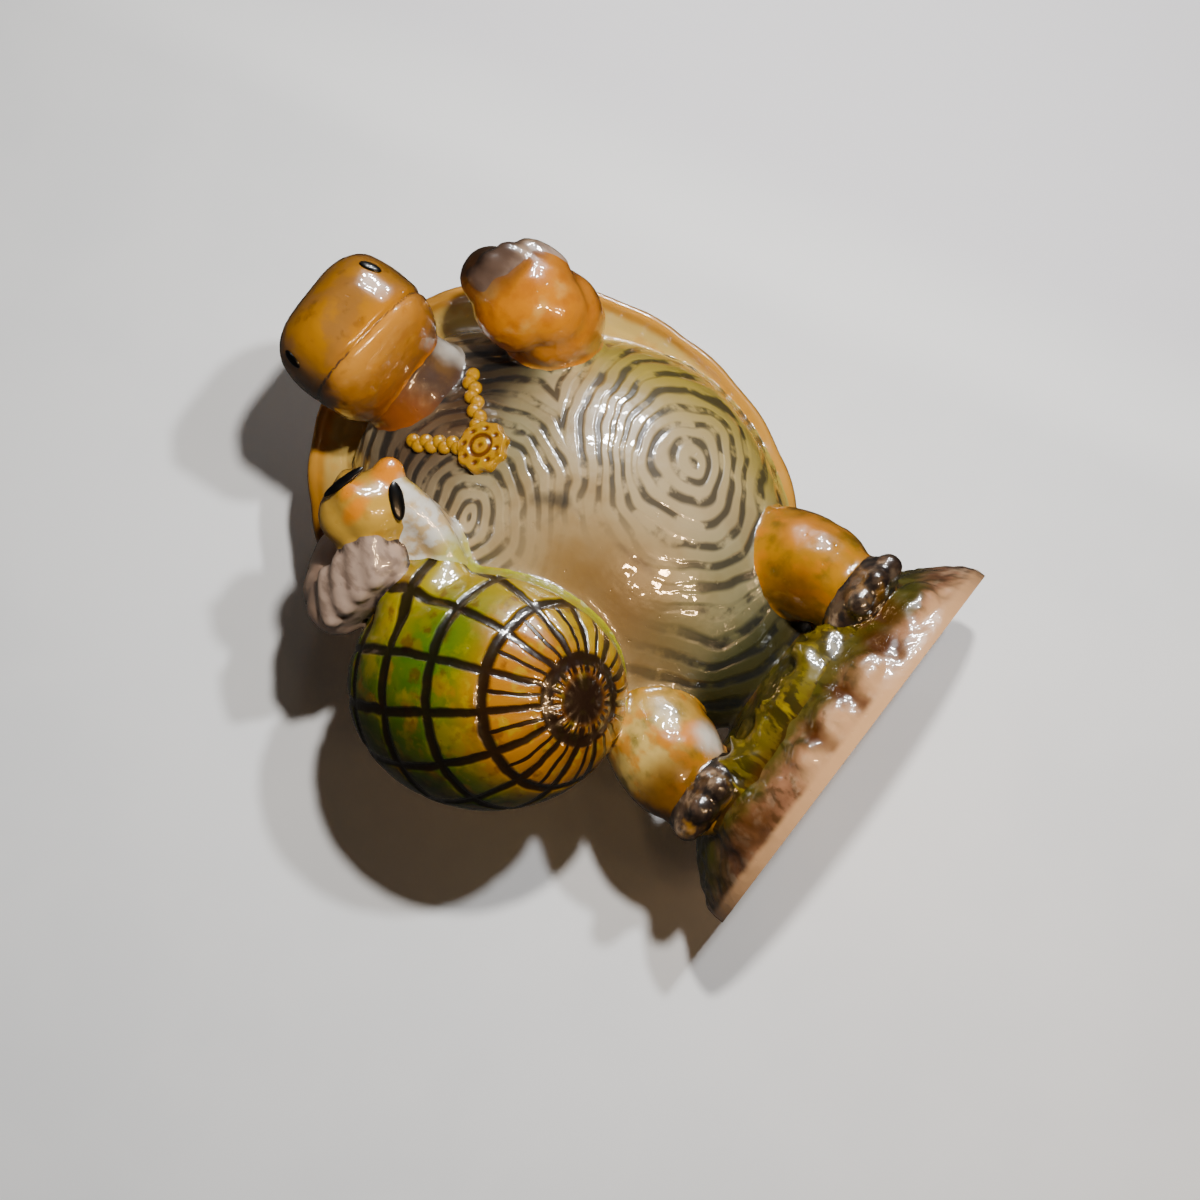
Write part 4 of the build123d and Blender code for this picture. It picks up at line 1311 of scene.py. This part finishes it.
youngHeadPaint = {"ground": "youngCream", "layers": (
    mottle("tan", 3.0, 0.48, 0.66, 0.55),
    stroke("flame", (-12.5, -31, 72.2), (-17.0, -32, 72.8), 2.3, 0.95, 0.5),
    stroke("flame", (-14.8, -33, 69.8), (-20.0, -31, 70.4), 2.4, 0.95, 0.5),
    spot("flame", (-10.4, -31, 70.4), (2.6, 7, 2.4), 1.0, 0.4),
    stroke("flame", (-9.6, -30, 69.0), (-8.9, -30, 66.8), 1.4, 0.9, 0.4),
    spot("white", (-10.6, -30, 65.2), (2.0, 8, 2.8), 0.9, 0.5),
    pooled("greyBrown", 0.3, 1.3, 0.6),
)}
dress(paintGlaze("youngHeadPaint", youngHeadPaint), "young_head_paint", "young_head")

youngNeckPaint = {"ground": "white", "layers": (
    mottle("youngCream", 3.0, 0.45, 0.60, 0.7),
    spot("yellow", (-9.0, -30, 66.8), (1.6, 6, 1.6), 0.8, 0.6),
    band("rimGreen", (0, 0, -1), -61.0, -57.0, 0.7, 2.0),
    pooled("greyBrown", 0.4, 1.5, 0.5),
)}
dress(paintGlaze("youngNeckPaint", youngNeckPaint), "young_skin_paint", "young_neck")
print("skin pieces painted")


# the pendant: a lobed disc on the chest with a ring and dots in relief, and two strands of beads
pendantSizes = {
    "medallion": (-0.034, 0.668),
    "radius": 3.9,
    "rise": 1.35,
    "dome": 0.20,
    "face": (0.02, 0.90, 34),       # the rings of points of its face: from, to, and how many
    # the rings of its edge: share of the radius, and of the rise
    "edge": ((0.94, 0.80), (0.97, 0.66), (0.99, 0.48), (1.0, 0.25), (1.0, -0.5), (0.99, -1.2)),
    "lobes": 9,
    "lobeDepth": 0.10,
    "ringAt": 1.5,
    "ringWidth": 0.35,
    "dotsAt": 2.55,
    "dots": 8,
    "dotRadius": 0.42,
    "hub": (0.5, 0.7),              # radius and depth of the hollow in the middle
    "relief": 0.28,
    "strands": {"left": (-0.181, 0.765), "right": (0.20, 0.760)},
    "beadRadius": 1.05,
    "beads": 8,
    "zigzag": 0.38,
    "beadFlatness": 0.85,
    "beadLift": 0.35,
    "strandStart": 0.4,             # how far the first bead goes in over the disc
}
pendantPaint = {"ground": "gold", "ripple": 0.4, "layers": (
    mottle("yellow", 1.6, 0.54, 0.68, 0.35),
    mottle("goldDark", 1.2, 0.56, 0.70, 0.5),
    pooled("goldDark", 0.05, 0.20, 0.9, "fineHollow"),
)}


def bellyFront(x, z):
    # the y of the belly's surface, seen from the front
    level = min(max((z - bellyLow[2]) / bellyHeight, 0), 1)
    wide = np.interp(level, bellyRows[:, 0], bellyRows[:, 1]) * bellyHalfWidth
    deep = np.interp(level, bellyRows[:, 0], bellyRows[:, 2]) * bellyDepth
    return -deep * math.sqrt(max(1 - ((x - middleX) / wide)**2, 0))


def chestPlace(xShare, zShare):
    # a place on the chest, and which way it faces
    x, z = place(xShare, 0, zShare)[[0, 2]]
    step = pendantSizes["radius"]
    right = np.array([2 * step, bellyFront(x + step, z) - bellyFront(x - step, z), 0])
    above = np.array([0, bellyFront(x, z + step) - bellyFront(x, z - step), 2 * step])
    return np.array([x, bellyFront(x, z), z]), towards(np.cross(right, above))


def makeMedallion():
    sizes = pendantSizes
    middle, facing = chestPlace(*sizes["medallion"])
    across = towards(np.cross((0, 0, 1), facing))
    above = np.cross(facing, across)
    dotTurns = [2 * math.pi * (dot + 0.5) / sizes["dots"] for dot in range(sizes["dots"])]
    hubRadius, hubDepth = sizes["hub"]
    rings, hollows = [], []

    def addRing(share, rise, carved):
        # the ring, the dots and the hub are sunk into the face, and not into the edge
        lobed = 1 - sizes["lobeDepth"] / 2 * (1 - np.cos(turns * sizes["lobes"])) * share**4
        away = share * sizes["radius"] * lobed
        x, z = away * np.cos(turns), away * np.sin(turns)
        hollow = groove(away - sizes["ringAt"], sizes["ringWidth"])
        for turn in dotTurns:
            gap = np.hypot(x - sizes["dotsAt"] * math.cos(turn), z - sizes["dotsAt"] * math.sin(turn))
            hollow = np.maximum(hollow, groove(gap, sizes["dotRadius"]))
        hollow = np.maximum(hollow, groove(np.hypot(x, z), hubRadius) * hubDepth) * sizes["relief"] * carved
        hollows.append(hollow)
        rings.append(middle + np.outer(x, across) + np.outer(z, above) + np.outer(rise - hollow, facing))

    for share in np.linspace(*sizes["face"]):
        addRing(share, sizes["rise"] - sizes["dome"] * share**2, 1)
    for share, level in sizes["edge"]:
        addRing(share, sizes["rise"] * level, 0)
    hollows.append((0, 0))          # the two points that close the disc
    piece = makePiece("medallionDisc", "medallionDisc", *skinRings(rings), fine=np.concatenate(hollows))
    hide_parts("medallion")


def makeStrand(side):
    sizes = pendantSizes
    start = np.array(sizes["medallion"])
    reach = np.array(sizes["strands"][side]) - start
    acrossReach, upReach = reach * (shellHalfWidth, figureHeight)
    length = math.hypot(acrossReach, upReach)
    first = sizes["radius"] - sizes["strandStart"]
    radius = sizes["beadRadius"]
    run = towards((acrossReach, 0, upReach))
    beads = []
    for index in range(sizes["beads"]):
        way = (first + (length - first) * index / (sizes["beads"] - 1)) / length
        middle, facing = chestPlace(*(start + reach * way))
        sideways = np.cross(facing, run)
        middle = middle + facing * sizes["beadLift"] + sideways * sizes["zigzag"] * (-1)**index
        beads.append(egg(middle, (radius, radius * sizes["beadFlatness"], radius), along=run,
                         across=sideways, sides=20, levels=11))
    piece = makePiece("beads_" + side, "beads_" + side, *gathered(beads))
    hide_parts("chain_" + side)


makeMedallion()
pendantGlaze = paintGlaze("pendantPaint", pendantPaint)
dress(pendantGlaze, "pendant_paint", "medallionDisc")
for side in pendantSizes["strands"]:
    makeStrand(side)
    dress(pendantGlaze, "pendant_paint", "beads_" + side)

# the eyes are drops of black glaze
eyeSizes = {
    # a place that the camera sees the eye at, its half sizes, and the way that it is drawn out
    "head": (((-6.4, -26, 91.3), (0.85, 0.45, 1.5), (0.38, 0, 0.92)),
             ((10.0, -26, 90.9), (0.85, 0.45, 1.6), (-0.35, 0, 0.94))),
    "young": (((-12.9, -31, 66.2), (1.1, 0.55, 2.6), (0.55, 0.1, 0.85)),
              ((-15.4, -26, 75.2), (0.85, 0.5, 3.2), (0.91, 0.1, -0.41))),
}


def seated(name, target):
    # the point of a piece that the camera sees at a place, and which way it faces
    mesh = pieces[name].data
    tree = BVHTree.FromPolygons([vertex.co for vertex in mesh.vertices],
                                [list(face.vertices) for face in mesh.polygons])
    start = Vector(cameraSizes["place"]) * mm
    hit = tree.ray_cast(start, (Vector(target) * mm - start).normalized())
    if hit[0] is None:
        hit = tree.find_nearest(Vector(target) * mm)
        print("nearest point taken on", name, "for", target)
    return np.array(hit[0]) / mm, np.array(hit[1])


def makeEyes(name, owner, rows):
    drops = []
    for target, halves, drawn in rows:
        middle, normal = seated(owner, target)
        drawn = np.array(drawn) - np.dot(drawn, normal) * normal
        drops.append(egg(middle, halves, along=drawn, across=np.cross(drawn, normal), sides=28, levels=15))
    makePiece(name, name, *gathered(drops))


eyePaint = {"ground": "black", "ripple": 0.1, "coat": 0.2, "layers": (mottle("ink", 1.0, 0.5, 0.7, 0.3),)}
eyeGlaze = paintGlaze("eyePaint", eyePaint)
eyeGlaze.node_tree.nodes["Principled BSDF"].inputs["Coat Weight"].default_value = eyePaint["coat"]
makeEyes("headEyes", "head", eyeSizes["head"])
dress(eyeGlaze, "head_paint", "headEyes")
makeEyes("youngEyes", "young_head", eyeSizes["young"])
dress(eyeGlaze, "young_head_paint", "youngEyes")
print("pendant and eyes made")


# the stage: the table that the figurine lies on, which is behind it in this frame
stageSizes = {
    "tableBack": 26.6,
    "tableLean": 3.36,
    "tableHalf": 420.0,
    "grain": 26.0,
    # a brighter band runs across the upper part of the picture: its direction, and its two edges
    # with how soft they are
    "brightBandAcross": (0.972, 0, 0.237),
    "brightBandEdges": ((63.0, 5.0), (77.0, 9.0)),
}
stagePaint = {"table": (0.93, 0.93, 0.93, 1), "shade": (0.89, 0.895, 0.90, 1), "brightBand": (1.0, 1.0, 1.0, 1),
              "beyond": (0.90, 0.88, 0.91, 1)}


def stageMaterial(name):
    # seen from in front only, so that the other views look past it, and the lamp behind shines through
    material, tree, shader = startMaterial(name, {"Roughness": 0.55})
    grain = cloud(tree, surfacePlace(tree), stageSizes["grain"], 3.0)
    base = mixed(tree, ramp(tree, grain, 0.35, 0.65), stagePaint["table"], stagePaint["shade"])
    height = dotProduct(tree, surfacePlace(tree), stageSizes["brightBandAcross"])
    edges = [ramp(tree, height, edge - soft, edge + soft) for edge, soft in stageSizes["brightBandEdges"]]
    brightBand = times(tree, edges[0], minus(tree, 1.0, edges[1]))
    base = mixed(tree, brightBand, mixed(tree, edges[1], base, stagePaint["beyond"]), stagePaint["brightBand"])
    join(tree, base, shader.inputs["Base Color"])
    clear = addNode(tree, "ShaderNodeBsdfTransparent").outputs[0]
    behind = addNode(tree, "ShaderNodeNewGeometry").outputs["Backfacing"]
    shadowRay = addNode(tree, "ShaderNodeLightPath").outputs["Is Shadow Ray"]
    unseen = maths(tree, "MAXIMUM", behind, shadowRay)
    blend = addNode(tree, "ShaderNodeMixShader", {0: unseen, 1: shader.outputs[0], 2: clear})
    tree.links.new(blend.outputs[0], tree.nodes["Material Output"].inputs["Surface"])
    return material


def makeTable():
    half, back = stageSizes["tableHalf"], stageSizes["tableBack"]
    slope = math.tan(math.radians(stageSizes["tableLean"]))
    low, high = back + slope * half, back - slope * half
    corners = [(-half, low, -half), (half, low, -half), (half, high, half), (-half, high, half)]
    mesh = plainMesh("table", corners, [(0, 1, 2, 3)])
    mesh.materials.append(stageMaterial("tablePaint"))
    sheet = addObject("table", mesh)
    sheet.visible_glossy = False


makeTable()

# two lamps throw the two shadows on the table, and one lights the back: place, size, power, colour
lights = {
    "key": ((50, -250, 36), 12, 0.70, (1.0, 0.97, 0.93)),
    "second": ((80, -250, 0), 12, 0.52, (0.96, 0.98, 1.0)),
    "back": ((0, 600, 140), 260, 1.2, (1.0, 1.0, 1.0)),
}
sparkles = {
    # the lamps whose mirror images show as dots in the glaze: directions, size, power, colour
    "cool": (((0.83, -0.43, 0.36), (0.76, -0.55, 0.34), (0.86, -0.30, 0.42), (0.76, -0.42, 0.50),
              (0.88, -0.42, 0.20), (0.66, -0.68, 0.32), (0.74, -0.66, 0.12), (0.56, -0.70, 0.44)), 26, 0.75,
             (0.94, 0.97, 1.0)),
    "warm": (((0.0, -0.78, -0.62), (0.13, -0.79, -0.60), (0.05, -0.66, -0.75), (-0.14, -0.84, -0.53),
              (0.22, -0.68, -0.70), (-0.05, -0.91, -0.42)), 22, 0.40, (1.0, 0.62, 0.30)),
}

sparkleReach = 450.0
middleHeight = figureHeight / 2


def makeLamp(name, stand, size, power, colour):
    data = bpy.data.lights.new(name, "AREA")
    data.shape = "DISK"
    data.size = size * mm
    data.energy = power
    data.color = colour
    lamp = addObject(name, data)
    lamp.location = Vector(stand) * mm
    lamp.rotation_mode = "QUATERNION"
    aim = Vector((0, 0, middleHeight)) * mm
    lamp.rotation_quaternion = (aim - lamp.location).to_track_quat("-Z", "Y")
    return lamp


for name, (stand, *lampSizes) in lights.items():
    makeLamp(name, stand, *lampSizes).visible_glossy = False
for name, (directions, *lampSizes) in sparkles.items():
    for index, direction in enumerate(directions):
        stand = towards(direction) * sparkleReach + (0, 0, middleHeight)
        makeLamp(f"{name}_{index}", stand, *lampSizes).visible_diffuse = False

world = bpy.data.worlds.new("studio")
bpy.context.scene.world = world
world.use_nodes = True
world.node_tree.nodes["Background"].inputs["Color"].default_value = (0.95, 0.86, 0.76, 1)
world.node_tree.nodes["Background"].inputs["Strength"].default_value = 0.035
